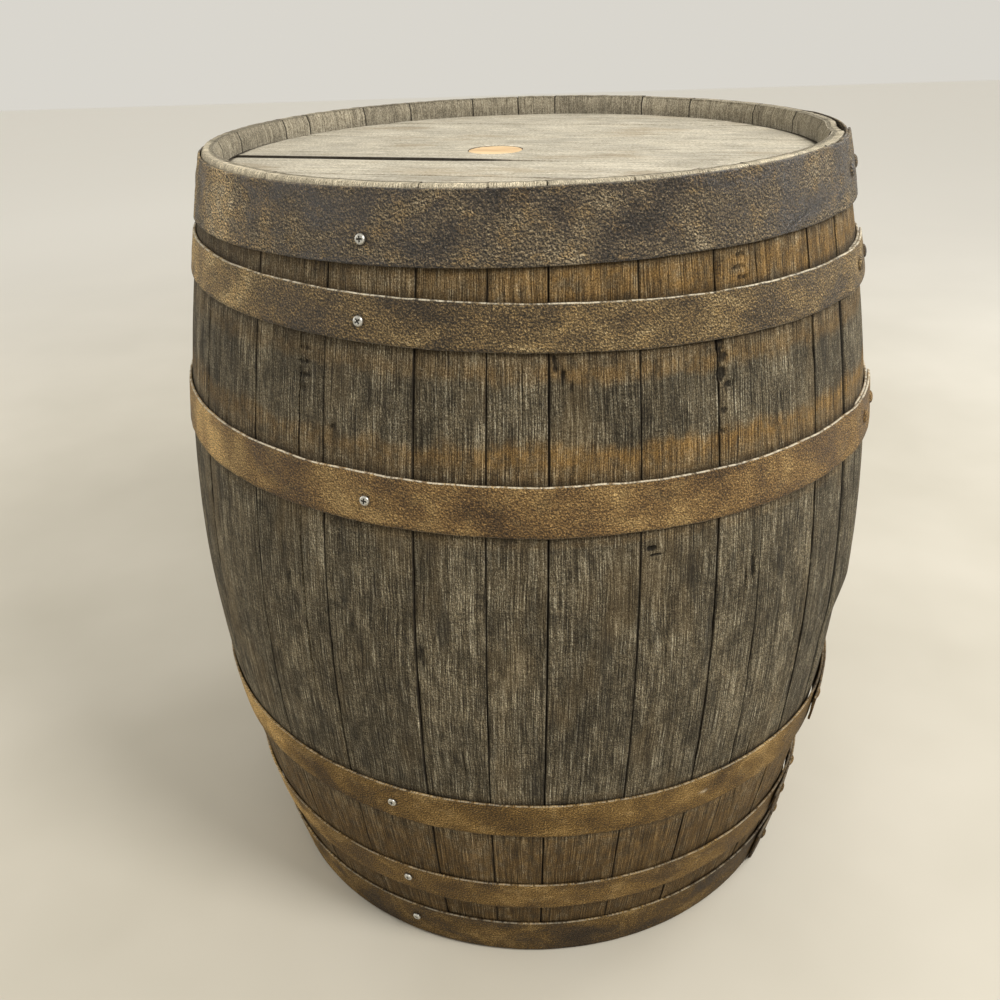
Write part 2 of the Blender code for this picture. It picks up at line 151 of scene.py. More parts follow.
def polar(azimuth, radius, z):
    """Points at azimuths in degrees, radii and heights, as an array with x, y and z last."""
    angle = np.radians(azimuth)
    return np.stack(np.broadcast_arrays(radius * np.sin(angle), -radius * np.cos(angle), z), axis=-1)


def lattice(i, j, seed):
    """A repeatable random number from 0 to 1 at each whole-number point."""
    n = (i * 73856093 ^ j * 19349663 ^ seed * 83492791) & 0x7FFFFFFF
    n = ((n ^ (n >> 13)) * 1274126177) & 0x7FFFFFFF
    return ((n ^ (n >> 15)) & 0xFFFF) / 65535.0


def noise(x, y, seed=0):
    """Smooth repeatable noise from -1 to 1 over arrays x and y, with one cell to the unit."""
    i, j = np.floor(x).astype(np.int64), np.floor(y).astype(np.int64)
    u, v = x - i, y - j
    u, v = u * u * (3 - 2 * u), v * v * (3 - 2 * v)
    low = lattice(i, j, seed) * (1 - u) + lattice(i + 1, j, seed) * u
    high = lattice(i, j + 1, seed) * (1 - u) + lattice(i + 1, j + 1, seed) * u
    return 2 * (low * (1 - v) + high * v) - 1


def smooth(value, low, high):
    """0 where value is at or under low, 1 at or over high, easing between."""
    t = np.clip((value - low) / (high - low), 0.0, 1.0)
    return t * t * (3 - 2 * t)


def layered(x, y, seed, *layers):
    """Noises added up, each given as its height, its cell size along x and y, and its seed's shift."""
    return sum(height * noise(x / wide, y / long, seed + shift) for height, wide, long, shift in layers)


def bulge(distance, reach):
    """1 at no distance, falling off smoothly over about the reach."""
    return np.exp(-((distance / reach) ** 2))


def random_at(number, draw):
    """A repeatable random number from 0 to 1: one of the draws that belong to a whole number."""
    return lattice(number, draw, 77)


def make_object(name, points, faces, fields, material, smooth_angle=40.0):
    """A mesh object of these points and faces, with number and vector fields for its material."""
    mesh = bpy.data.meshes.new(name)
    mesh.from_pydata(np.asarray(points, float).tolist(), [], faces)
    for field, values in fields.items():
        values = np.asarray(values, float)
        kind = "FLOAT" if values.ndim == 1 else "FLOAT_VECTOR"
        layer = mesh.attributes.new(field, kind, "POINT")
        layer.data.foreach_set("value" if kind == "FLOAT" else "vector", values.ravel().astype(np.float32))
    mesh.shade_smooth()
    mesh.set_sharp_from_angle(angle=math.radians(smooth_angle))
    mesh.materials.append(material)
    piece = bpy.data.objects.new(name, mesh)
    bpy.context.scene.collection.objects.link(piece)
    return piece


def grid_faces(rows, columns, start=0, flip=False, skip=None):
    """Quads of a grid of points held row by row. skip is a block (row, row, column, column) left out."""
    faces = []
    for r in range(rows - 1):
        for c in range(columns - 1):
            if skip and skip[0] <= r < skip[1] and skip[2] <= c < skip[3]:
                continue
            a = start + r * columns + c
            quad = (a, a + 1, a + 1 + columns, a + columns)
            faces.append(quad[::-1] if flip else quad)
    return faces


def block_loop(block, columns, start=0):
    """The point numbers round a block of grid cells, anticlockwise as seen from outside."""
    r0, r1, c0, c1 = block
    loop = [(r0, c) for c in range(c0, c1)] + [(r, c1) for r in range(r0, r1)]
    loop += [(r1, c) for c in range(c1, c0, -1)] + [(r, c0) for r in range(r1, r0, -1)]
    return [start + r * columns + c for r, c in loop]


def band(loop, other):
    """Quads between two closed loops of point numbers."""
    return list(zip(loop, (*loop[1:], loop[0]), (*other[1:], other[0]), other))


def cells(places, centre, reach):
    """The first and last of a run of cells that holds centre with reach on both sides of it."""
    return int(np.searchsorted(places, centre - reach)) - 1, int(np.searchsorted(places, centre + reach))


def open_hole(points, faces, fields, block, columns, count, rings, at_rim):
    """Puts a round hole through two grids of count points each, in place of a block of their cells.

    rings holds the hole's points on the first grid and on the second, and at_rim the fields that the
    hole's points don't take from the block's border. Points that no face uses any more are dropped.
    """
    loops = []
    for number, ring in enumerate(rings):
        border = block_loop(block, columns, number * count)
        loop = list(range(len(points), len(points) + len(ring)))
        loops.append(loop)
        points.extend(ring)
        for key, values in fields.items():
            values.extend([values[i] * 0 + at_rim[key] if key in at_rim else values[i] for i in border])
        faces += band(border, loop) if number == 0 else band(loop, border)
    faces += band(*loops)
    used = sorted({i for face in faces for i in face})
    renumber = {old: new for new, old in enumerate(used)}
    fields = {key: [values[i] for i in used] for key, values in fields.items()}
    return [points[i] for i in used], [tuple(renumber[i] for i in face) for face in faces], fields


def slab(outer, inner, fields_outer, fields_inner, hole=None):
    """Points, faces and fields of a closed solid between two grids of points, outer and inner.

    hole is (block of cells, outer ring of points, inner ring), for a round hole through both grids.
    """
    rows, columns = outer.shape[:2]
    count = rows * columns
    block = hole[0] if hole else None
    points = [*outer.reshape(-1, 3), *inner.reshape(-1, 3)]
    fields = {
        key: [*values.reshape(count, -1), *fields_inner[key].reshape(count, -1)]
        for key, values in fields_outer.items()
    }
    faces = grid_faces(rows, columns, 0, False, block) + grid_faces(rows, columns, count, True, block)
    outline = block_loop((0, rows - 1, 0, columns - 1), columns)
    faces += band([count + i for i in outline], outline)
    if hole:
        points, faces, fields = open_hole(points, faces, fields, block, columns, count, hole[1:], {})
    return points, faces, {key: np.squeeze(np.array(values)) for key, values in fields.items()}


def turned(outline, sides):
    """Points and faces of an outline turned about Z: (radius, height) from top centre to bottom centre."""
    points, faces = [(0.0, 0.0, outline[0][1])], []
    for radius, z in outline[1:-1]:
        for i in range(sides):
            angle = i * math.tau / sides
            points.append((radius * math.cos(angle), radius * math.sin(angle), z))
    points.append((0.0, 0.0, outline[-1][1]))
    rings = len(outline) - 2
    for i in range(sides):
        j = (i + 1) % sides
        faces.append((0, 1 + i, 1 + j))
        for ring in range(rings - 1):
            a, b = 1 + ring * sides, 1 + (ring + 1) * sides
            faces.append((a + i, b + i, b + j, a + j))
        a = 1 + (rings - 1) * sides
        faces.append((len(points) - 1, a + j, a + i))
    return np.array(points), faces


# ---------------------------------------------------------------- materials


def srgb(red, green, blue):
    """A linear colour from screen values of 0 to 255."""
    values = []
    for value in (red, green, blue):
        value /= 255.0
        values.append(value / 12.92 if value <= 0.04045 else ((value + 0.055) / 1.055) ** 2.4)
    return (*values, 1.0)


class Look:
    """Builds one node material, node by node. Each method returns the socket of its result."""

    def __init__(self, name):
        self.material = bpy.data.materials.new(name)
        self.material.use_nodes = True
        self.tree = self.material.node_tree
        self.surface = self.tree.nodes["Principled BSDF"]

    def node(self, kind, inputs, output=0, **settings):
        node = self.tree.nodes.new(kind)
        for key, value in settings.items():
            setattr(node, key, value)
        for key, value in inputs.items():
            self.put(node.inputs[key], value)
        return node.outputs[output]

    def put(self, socket, value):
        if isinstance(value, bpy.types.NodeSocket):
            self.tree.links.new(value, socket)
        else:
            socket.default_value = value

    def field(self, name, vector=False):
        return self.node("ShaderNodeAttribute", {}, "Vector" if vector else "Fac", attribute_name=name)

    def stretch(self, vector, scale):
        return self.node("ShaderNodeMapping", {"Vector": vector, "Scale": scale})

    def noise(self, vector, scale, detail=2.0, roughness=0.5, distortion=0.0):
        inputs = {"Vector": vector, "Scale": scale, "Detail": detail, "Roughness": roughness}
        return self.node("ShaderNodeTexNoise", {**inputs, "Distortion": distortion})

    def drawn(self, vector, stretch, *noise):
        """Noise drawn out along an axis: the smaller the stretch along it, the longer its streaks."""
        return self.noise(self.stretch(vector, stretch), *noise)

    def lit_slopes(self, vector, offset, *noise):
        """Painted light and shade: over 0 where a noise falls along the offset, under 0 where it rises."""
        moved = self.node("ShaderNodeVectorMath", {0: vector, 1: offset}, operation="ADD")
        return self.math("SUBTRACT", self.noise(vector, *noise), self.noise(moved, *noise))

    def math(self, operation, a, b=0.0, clamp=False):
        return self.node("ShaderNodeMath", {0: a, 1: b}, operation=operation, use_clamp=clamp)

    def rise(self, value, low, high, start=0.0, end=1.0):
        inputs = {"Value": value, "From Min": low, "From Max": high, "To Min": start, "To Max": end}
        return self.node("ShaderNodeMapRange", inputs, interpolation_type="SMOOTHSTEP")

    def ramp(self, value, stops):
        node = self.tree.nodes.new("ShaderNodeValToRGB")
        elements = node.color_ramp.elements
        while len(elements) < len(stops):
            elements.new(1.0)
        for element, (place, colour) in zip(elements, stops):
            element.position = place
            element.color = colour
        self.put(node.inputs[0], value)
        return node.outputs[0]

    def blend_values(self, *shares):
        """The sum of each value times its share."""
        total = 0.0
        for value, share in shares:
            total = self.node("ShaderNodeMath", {0: value, 1: share, 2: total}, operation="MULTIPLY_ADD")
        return total

    def mix(self, amount, a, b):
        return self.node("ShaderNodeMix", {0: amount, 6: a, 7: b}, 2, data_type="RGBA")

    def shade(self, colour, amount):
        """colour times a number."""
        return self.node("ShaderNodeVectorMath", {0: colour, "Scale": amount}, operation="SCALE")

    def tint(self, colour, value, *rise):
        """colour, darker and lighter as a value rises: from, to, shade there, shade here."""
        return self.shade(colour, self.rise(value, *rise))

    def cover(self, colour, amount, share, over):
        """colour with a share of another over it where amount is 1."""
        return self.mix(self.math("MULTIPLY", amount, share), colour, over)

    def bump(self, height, distance, strength=1.0, after=None):
        inputs = {"Height": height, "Distance": distance, "Strength": strength}
        if after is not None:
            inputs["Normal"] = after
        return self.node("ShaderNodeBump", inputs)

    def finish(self, colour, roughness, normal=None, specular=0.5, metallic=0.0):
        self.put(self.surface.inputs["Base Color"], colour)
        self.put(self.surface.inputs["Roughness"], roughness)
        self.surface.inputs["Specular IOR Level"].default_value = specular
        self.surface.inputs["Metallic"].default_value = metallic
        if normal is not None:
            self.put(self.surface.inputs["Normal"], normal)
        return self.material


def stave_look():
    """Weathered oak: fine pale fibres over charcoal brown, blotched, with rust from the hoops."""
    look = Look("weathered_stave_oak")
    grain = look.field("grain", vector=True)
    fibres = look.drawn(grain, (1, 1, 0.022), 1300, 2, 0.55)
    cords = look.drawn(grain, (1, 1, 0.010), 560, 2, 0.5)
    crust = look.drawn(grain, (1, 1, 0.75), 900, 4, 0.75, 0.3)
    patches = look.drawn(grain, (1, 1, 0.6), 66, 6, 0.72, 0.8)
    blotches = look.drawn(grain, (1, 1, 0.50), 24, 5, 0.64, 0.7)
    broad = look.drawn(grain, (1, 1, 0.50), 7, 3, 0.5)
    pores = look.drawn(grain, (1, 1, 0.08), 2300, 2, 0.6)
    smudges = look.drawn(grain, (1, 1, 0.28), 58, 4, 0.55, 0.3)
    sawn = look.drawn(grain, (0.14, 1, 1), 420, 3, 0.6)
    brown = look.drawn(grain, (1, 1, 0.4), 15, 4, 0.6)
    ragged = look.drawn(grain, (1, 1, 0.8), 90, 5, 0.7)
    tone = look.blend_values((fibres, 0.38), (cords, 0.20), (crust, 0.42))
    colour = look.ramp(tone, (
        (0.400, srgb(30, 25, 18)), (0.460, srgb(64, 56, 41)), (0.505, srgb(92, 82, 63)),
        (0.555, srgb(132, 123, 102)), (0.620, srgb(192, 184, 162)),
    ))
    lit = look.lit_slopes(look.stretch(grain, (1, 1, 0.35)), (0.0007, 0.0, 0.0004), 520, 4, 0.7)
    colour = look.tint(colour, lit, -0.07, 0.07, 0.66, 1.34)
    light = look.rise(patches, 0.36, 0.64, 0.72, 1.30)
    for value, *rise in (
        (blotches, 0.36, 0.62, 0.70, 1.22), (broad, 0.38, 0.62, 0.86, 1.16), (sawn, 0.34, 0.66, 0.84, 1.16),
    ):
        light = look.math("MULTIPLY", light, look.rise(value, *rise))
    own = look.math("ADD", look.math("MULTIPLY", look.field("board"), 0.30), 0.86)
    colour = look.shade(colour, look.math("MULTIPLY", light, own))
    scabs = look.math("MULTIPLY", look.rise(patches, 0.50, 0.60), look.rise(crust, 0.54, 0.62))
    colour = look.cover(colour, scabs, 0.55, srgb(168, 160, 138))
    colour = look.cover(colour, look.rise(smudges, 0.55, 0.68), 0.55, srgb(48, 44, 37))
    browned = look.ramp(tone, ((0.42, srgb(62, 48, 28)), (0.60, srgb(146, 124, 86))))
    colour = look.cover(colour, look.rise(brown, 0.50, 0.66), 0.35, browned)

    rusted = look.ramp(tone, (
        (0.42, srgb(54, 37, 17)), (0.475, srgb(100, 75, 38)),
        (0.53, srgb(148, 114, 62)), (0.60, srgb(200, 164, 106)),
    ))
    rusted = look.tint(rusted, patches, 0.36, 0.64, 0.84, 1.25)
    colour = look.cover(colour, look.field("rust"), look.rise(ragged, 0.34, 0.60, 0.30, 0.92), rusted)
    # Painted shade beside the hoops and low on the staves, broken up by noise.
    shade_breakup = look.rise(ragged, 0.30, 0.58, 0.35, 0.85)
    colour = look.cover(colour, look.field("soot"), shade_breakup, srgb(40, 29, 13))
    colour = look.cover(colour, look.rise(pores, 0.42, 0.32), 0.5, srgb(30, 26, 19))
    colour = look.mix(look.rise(look.field("hollow"), 0.0002, 0.0014, 0.0, 0.85), colour, srgb(20, 17, 13))
    colour = look.mix(look.rise(look.field("edge"), 0.0001, 0.0011, 0.75, 0.0), colour, srgb(26, 22, 16))

    # The chime field is 1 on bare end grain, and rises to 2 where the sun has bleached it.
    chime = look.field("chime")
    pale = look.ramp(look.blend_values((crust, 0.6), (fibres, 0.4)), (
        (0.40, srgb(96, 88, 72)), (0.48, srgb(153, 143, 122)), (0.58, srgb(202, 192, 169)),
    ))
    pale = look.tint(pale, patches, 0.38, 0.62, 0.80, 1.14)
    pale = look.tint(pale, chime, 1.0, 2.0, 1.0, 1.75)
    pale = look.tint(pale, look.field("board"), 0.0, 1.0, 0.86, 1.14)
    joint = look.rise(look.field("edge"), 0.0002, 0.0014, 0.92, 0.0)
    pale = look.cover(pale, joint, look.rise(chime, 1.0, 2.0, 1.0, 0.2), srgb(34, 29, 22))
    colour = look.mix(look.math("MINIMUM", chime, 1.0), colour, pale)
    inside = look.ramp(tone, ((0.4, srgb(60, 34, 20)), (0.6, srgb(104, 66, 42))))
    colour = look.mix(look.field("inside"), colour, inside)
    rough = look.rise(fibres, 0.35, 0.65, 0.74, 0.92)
    coarse = look.bump(look.blend_values((cords, 0.5), (patches, 0.9), (sawn, 0.3)), 0.0028)
    fine = look.bump(look.blend_values((fibres, 0.8), (crust, 0.9)), 0.0018, 1.0, coarse)
    return look.finish(colour, rough, fine, 0.22)


def head_look():
    """Pale, sun-bleached oak, with soft grain along each board."""
    look = Look("bleached_head_oak")
    grain = look.field("grain", vector=True)
    fibres = look.drawn(grain, (0.10, 1, 1), 1300, 3, 0.65)
    flecks = look.drawn(grain, (0.55, 1, 1), 620, 5, 0.72)
    streaks = look.drawn(grain, (0.08, 1, 1), 210, 3, 0.6)
    clouds = look.drawn(grain, (0.55, 1, 1), 26, 5, 0.66, 0.5)
    stains = look.drawn(grain, (0.4, 1, 1), 16, 5, 0.66)
    greys = look.drawn(grain, (0.5, 1, 1), 11, 4, 0.6, 0.4)
    checks = look.drawn(grain, (0.035, 1, 1), 420, 2, 0.5)
    tone = look.blend_values((fibres, 0.25), (flecks, 0.55), (streaks, 0.20))
    colour = look.ramp(tone, (
        (0.41, srgb(136, 127, 107)), (0.465, srgb(182, 173, 152)),
        (0.53, srgb(209, 201, 182)), (0.60, srgb(232, 227, 211)),
    ))
    colour = look.tint(colour, clouds, 0.34, 0.64, 0.80, 1.03)
    # Painted light and shade on the slopes of the grain's relief.
    slope_light = look.lit_slopes(look.stretch(grain, (0.4, 1, 1)), (0.0004, 0.0008, 0.0), 420, 4, 0.7)
    colour = look.tint(colour, slope_light, -0.10, 0.10, 0.88, 1.10)
    colour = look.tint(colour, look.field("board"), 0.0, 1.0, 0.96, 1.03)
    colour = look.cover(colour, look.rise(stains, 0.53, 0.66), 0.45, srgb(156, 138, 108))
    colour = look.cover(colour, look.rise(greys, 0.52, 0.66), 0.4, srgb(150, 144, 130))
    # Painted shadow: the head darkens over its last few millimetres towards the chime.
    colour = look.mix(look.rise(look.field("edge"), 0.0010, 0.0060, 0.92, 0.0), colour, srgb(50, 41, 30))
    colour = look.mix(look.rise(checks, 0.61, 0.66, 0.0, 0.55), colour, srgb(92, 81, 63))
    # Dark joints between the boards, and painted shadow along the open joint of the top head.
    colour = look.mix(look.rise(look.field("hollow"), 0.0003, 0.0016, 0.0, 0.92), colour, srgb(38, 31, 23))
    coarse = look.bump(look.blend_values((streaks, 0.7), (clouds, 0.7)), 0.0010)
    fine = look.bump(flecks, 0.0008, 0.9, coarse)
    return look.finish(colour, look.rise(flecks, 0.35, 0.65, 0.62, 0.82), fine, 0.3)


def new_wood_look(name, low, middle, high, scale=420):
    """Clean turned wood with fine grain, for bungs and dowels."""
    look = Look(name)
    place = look.node("ShaderNodeTexCoord", {}, "Object")
    fibres = look.drawn(place, (0.08, 1, 1), scale, 3, 0.6)
    rings = look.drawn(place, (0.12, 1, 1), scale / 6, 2, 0.5)
    tone = look.blend_values((rings, 0.5), (fibres, 0.5))
    colour = look.ramp(tone, ((0.36, low), (0.5, middle), (0.66, high)))
    return look.finish(colour, look.rise(tone, 0.3, 0.7, 0.5, 0.66), look.bump(fibres, 0.0003), 0.35)


# Rusty steel in the looks that the hoops have. shades go from dark scale to pale rust, and lean is
# towards the dark ones. pit is the relief's depth and lump its coarseness. relief_shading is how much
# painted shade darkens the relief's hollows and painted highlight lightens its high spots, grain the
# coarseness of the painted light and shade on its slopes and slope how strong that is. glints says how
# pale the painted glints on the high spots are, edge how pale the top edge is, and ochre how strong
# the rust spots are. smooth is the dark scale's roughness and shine how strongly it shines.
STEELS = {
    "hammered": {
        "shades": (srgb(44, 37, 30), srgb(78, 66, 51), srgb(112, 97, 71), srgb(160, 146, 119)),
        "lean": 0.016, "pit": 0.0060, "lump": 300, "relief_shading": 0.22, "glints": 0.50, "edge": 0.2,
        "grain": 480, "slope": 0.85, "ochre": 0.50, "smooth": 0.30, "shine": 0.5,
    },
    "speckled": {
        "shades": (srgb(46, 36, 22), srgb(84, 68, 43), srgb(122, 101, 65), srgb(172, 152, 112)),
        "lean": 0.006, "pit": 0.0034, "lump": 420, "relief_shading": 0.20, "glints": 0.25, "edge": 1.3,
        "grain": 560, "slope": 0.60, "ochre": 0.60, "smooth": 0.50, "shine": 0.35,
    },
    "ochre": {
        "shades": (srgb(58, 42, 22), srgb(98, 74, 42), srgb(134, 105, 62), srgb(176, 148, 98)),
        "lean": -0.002, "pit": 0.0032, "lump": 420, "relief_shading": 0.16, "glints": 0.14, "edge": 1.3,
        "grain": 600, "slope": 0.48, "ochre": 0.50, "smooth": 0.52, "shine": 0.3,
    },
    "smooth": {
        "shades": (srgb(56, 40, 18), srgb(90, 68, 33), srgb(118, 92, 49), srgb(156, 128, 80)),
        "lean": 0.006, "pit": 0.0016, "lump": 520, "relief_shading": 0.12, "glints": 0.06, "edge": 0.4,
        "grain": 640, "slope": 0.40, "ochre": 0.55, "smooth": 0.60, "shine": 0.2,
    },
    "dark": {
        "shades": (srgb(38, 27, 13), srgb(66, 49, 24), srgb(100, 77, 38), srgb(144, 118, 72)),
        "lean": 0.014, "pit": 0.0018, "lump": 420, "relief_shading": 0.16, "glints": 0.08, "edge": 0.4,
        "grain": 600, "slope": 0.45, "ochre": 0.25, "smooth": 0.58, "shine": 0.2,
    },
}


def hoop_look(name, steel):
    """Rusted hoop steel: dark scale broken by ochre rust, fine speckle, pits and pale edges."""
    look = Look(f"rusted_steel_{name}")
    strip = look.field("strip", vector=True)
    patches = look.drawn(strip, (0.7, 1, 1), 24, 5, 0.62, 0.6)
    lumps = look.noise(strip, steel["lump"], 3, 0.6, 0.5)
    crinkle = look.noise(strip, 640, 4, 0.66, 0.3)
    dust = look.noise(strip, 1500, 2, 0.6)
    rusty = look.math("MULTIPLY", look.field("ochre"), 0.08)
    ground = look.math("ADD", patches, rusty)
    tone = look.blend_values((ground, 0.34), (lumps, 0.12), (crinkle, 0.34), (dust, 0.20))
    tone = look.math("SUBTRACT", tone, steel["lean"])
    colour = look.ramp(tone, tuple(zip((0.42, 0.475, 0.53, 0.60), steel["shades"])))
    spots = look.rise(look.math("ADD", look.noise(strip, 62, 4, 0.55, 0.5), rusty), 0.52, 0.66)
    ochre = look.ramp(tone, ((0.43, srgb(80, 62, 36)), (0.56, srgb(158, 131, 84))))
    colour = look.cover(colour, spots, steel["ochre"], ochre)
    # Painted shade in the relief's hollows and painted highlight on its high spots.
    hollow, slope = steel["relief_shading"], steel["slope"]
    colour = look.tint(colour, crinkle, 0.36, 0.64, 1.0 - hollow, 1.0 + hollow)
    colour = look.tint(colour, lumps, 0.34, 0.66, 1.0 - hollow, 1.0 + hollow)
    lit = look.lit_slopes(strip, (0.0004, 0.0008, 0.0), steel["grain"], 3, 0.62, 0.4)
    colour = look.tint(colour, lit, -0.11, 0.11, 1.0 - slope, 1.0 + slope)
    # Painted light: up to 1.75 times lighter where the ochre field is high, a sheen on the hoops' left.
    colour = look.tint(colour, look.field("ochre"), 0.6, 1.8, 1.0, 1.75)
    # Painted glints: the highest spots of the fine relief made pale.
    colour = look.cover(colour, look.rise(crinkle, 0.57, 0.66), steel["glints"], srgb(176, 164, 140))
    # A pale line along the top edge, broken up.
    broken = look.rise(look.noise(strip, 130, 5, 0.75), 0.42, 0.54, 0.15, 1.0)
    worn = look.math("MULTIPLY", look.field("rim"), look.rise(crinkle, 0.36, 0.50, 0.5, 1.0))
    worn = look.math("MULTIPLY", worn, steel["edge"])
    colour = look.mix(look.math("MULTIPLY", worn, broken, clamp=True), colour, srgb(234, 223, 198))
    # Painted shade at the lower edge and in open laps, and dark rings round the rivets and screw.
    colour = look.mix(look.field("grime"), colour, srgb(34, 26, 18))
    gloss = look.rise(look.blend_values((ground, 0.6), (crinkle, 0.4)), 0.44, 0.56, steel["smooth"], 0.74)
    coarse = look.bump(lumps, steel["pit"])
    fine = look.bump(look.blend_values((crinkle, 0.8), (dust, 0.2)), steel["pit"] * 0.6, 1.0, coarse)
    return look.finish(colour, gloss, fine, steel["shine"])


def zinc_look():
    """Bright plated steel, a little dulled."""
    look = Look("zinc_plated_screw")
    place = look.node("ShaderNodeTexCoord", {}, "Object")
    dull = look.noise(place, 900, 4, 0.6)
    colour = look.ramp(dull, ((0.35, srgb(168, 166, 158)), (0.6, srgb(214, 212, 204))))
    colour = look.mix(look.rise(look.field("hollow"), 0.0001, 0.0008, 0.0, 0.9), colour, srgb(30, 27, 24))
    return look.finish(colour, look.rise(dull, 0.3, 0.7, 0.24, 0.42), look.bump(dull, 0.0001), 0.5, 0.9)


def floor_look():
    look = Look("pale_floor")
    place = look.node("ShaderNodeTexCoord", {}, "Object")
    soft = look.noise(place, 3, 3, 0.5)
    colour = look.ramp(soft, ((0.3, srgb(196, 190, 175)), (0.7, srgb(206, 200, 186))))
    away = look.node("ShaderNodeVectorMath", {0: place}, 1, operation="LENGTH")
    colour = look.mix(look.rise(away, 0.9, 4.5), colour, srgb(250, 247, 240))
    return look.finish(colour, look.rise(soft, 0.3, 0.7, 0.55, 0.65), None, 0.3)


stave_oak = stave_look()
head_oak = head_look()
plug_wood = new_wood_look("new_plug_wood", srgb(206, 170, 124), srgb(232, 200, 152), srgb(244, 216, 172))
bung_wood = new_wood_look("worn_bung_wood", srgb(70, 44, 26), srgb(112, 76, 48), srgb(150, 110, 74))
dowel_oak = new_wood_look("dowel_oak", srgb(150, 112, 72), srgb(178, 140, 96), srgb(198, 164, 120))
zinc = zinc_look()
steels = {name: hoop_look(name, steel) for name, steel in STEELS.items()}


# ---------------------------------------------------------------- staves

# Long drying cracks: stave number, place across it from 0 to 1, lowest and highest point, depth.
CHECKS = (
    (2, 0.69, 0.36, 0.74, 0.0022), (3, 0.42, 0.50, 0.62, 0.0012), (5, 0.55, 0.62, 0.70, 0.0010),
    (6, 0.14, 0.655, 0.700, 0.0020), (8, 0.66, 0.455, 0.505, 0.0024), (9, 0.30, 0.16, 0.30, 0.0012),
    (4, 0.62, 0.26, 0.34, 0.0010), (7, 0.35, 0.38, 0.50, 0.0009), (11, 0.5, 0.30, 0.55, 0.0014),
    (14, 0.4, 0.20, 0.62, 0.0014), (16, 0.7, 0.45, 0.80, 0.0018), (17, 0.47, 0.02, 0.80, 0.0022),
    (20, 0.6, 0.30, 0.50, 0.0012), (22, 0.63, 0.05, 0.78, 0.0020), (24, 0.3, 0.52, 0.80, 0.0014),
    (26, 0.6, 0.10, 0.34, 0.0014), (28, 0.35, 0.32, 0.60, 0.0014), (1, 0.5, 0.52, 0.66, 0.0010),
)
# Nicks, gouges and splinters: azimuth, height, half width, half height, depth.
NICKS = (
    (27.1, 0.6900, 0.0050, 0.0090, 0.0030), (27.7, 0.6780, 0.0070, 0.0050, 0.0030),
    (27.2, 0.6650, 0.0055, 0.0070, 0.0034), (28.4, 0.6560, 0.0080, 0.0035, 0.0022),
    (27.3, 0.6350, 0.0055, 0.0040, 0.0026), (27.0, 0.6180, 0.0035, 0.0030, 0.0020),
    (16.2, 0.5290, 0.0060, 0.0030, 0.0032), (17.0, 0.5225, 0.0080, 0.0018, 0.0026),
    (32.6, 0.4870, 0.0028, 0.0140, 0.0030), (68.0, 0.3790, 0.0090, 0.0180, 0.0048),
    (69.2, 0.3560, 0.0060, 0.0150, 0.0040), (3.9, 0.6900, 0.0030, 0.0100, 0.0026),
    (5.0, 0.6780, 0.0026, 0.0080, 0.0024), (6.0, 0.6690, 0.0020, 0.0060, 0.0018),
    (-31.6, 0.6900, 0.0080, 0.0024, 0.0016), (-31.8, 0.6790, 0.0090, 0.0024, 0.0016),
    (-31.6, 0.6680, 0.0080, 0.0024, 0.0016), (-31.5, 0.6570, 0.0070, 0.0024, 0.0014),
    (31.6, 0.7540, 0.0080, 0.0024, 0.0018), (31.2, 0.7450, 0.0090, 0.0024, 0.0018),
    (31.8, 0.7370, 0.0080, 0.0024, 0.0018), (-15.0, 0.4300, 0.0040, 0.0200, 0.0018),
    (-27.0, 0.6300, 0.0040, 0.0030, 0.0018), (20.5, 0.4400, 0.0018, 0.0016, 0.0022),
    (38.0, 0.6300, 0.0022, 0.0090, 0.0018), (-36.0, 0.4700, 0.0025, 0.0180, 0.0016),
    (118.4, 0.4300, 0.0050, 0.0300, 0.0018), (191.6, 0.6200, 0.0050, 0.0200, 0.0018),
    (243.9, 0.3600, 0.0050, 0.0250, 0.0018), (288.2, 0.5000, 0.0050, 0.0200, 0.0016),
)
# A mark deeper than this shows fresh, pale wood.
FRESH_DEPTH = 0.0035
# The joints lean round the cask, in degrees per metre. They stand where STAVE_JOINTS says at DRIFT_FRONT
# on the front and at the top on the back.
SEAM_DRIFT = 3.5
DRIFT_FRONT = 0.54
# Half the opening of the joints before some staves. Both edges of the sprung one are worn away too.
OPEN_SEAMS = {1: 0.0007, 6: 0.0006, 8: 0.0007, 11: 0.0014, 17: 0.0006, 22: 0.0006, 26: 0.0008}
SPRUNG_JOINT = 11
SPRUNG_DEPTH = 0.0024
SPRUNG_REACH = 0.0045
# The cask is pressed in low on its right side.
FLAT_AZIMUTH = 76.0
FLAT_REACH_DEG = 19.0
FLAT_DEPTH = 0.010
# How much lighter or darker some staves are than their random tone makes them.
STAVE_TONES = {1: 0.6, 2: -0.45, 3: 0.1, 4: 0.2, 5: 0.45, 6: -0.55, 9: -0.3}
# One stave stands proud of the rest, and the next two are broken back at the top, over shares of their
# width: (first share, last share, how far at each).
PROUD_STAVE = 11
BROKEN_TOPS = {12: (0.52, 0.60, 0.0, 0.0075), 13: (0.60, 0.80, 0.0036, 0.0)}
STAVE_ROW = 0.0050
STAVE_COLUMN = 0.0031
EDGE_COLUMNS = (0.0, 0.0004, 0.0009, 0.0017, 0.0030)
END_ROWS = (0.0, 0.0007, 0.0018, 0.0035)
CHECK_COLUMNS = (-0.0011, -0.0004, 0.0004, 0.0011)
NICK_MARKS = (-1.0, -0.6, -0.2, 0.2, 0.6, 1.0)
# Layers of noise, as layered() takes them: the staves' faces and the inside of the cask.
STAVE_RELIEF = ((0.00022, 0.0065, 0.14, 0), (0.00030, 0.020, 0.20, 40), (0.00012, 0.0035, 0.05, 80))
INNER_RELIEF = (0.0002, 0.008, 0.05, 60)
# How far the painted shade beside a hoop reaches past it, as a share of how far its rust does.
SHADE_SHARE = 0.06


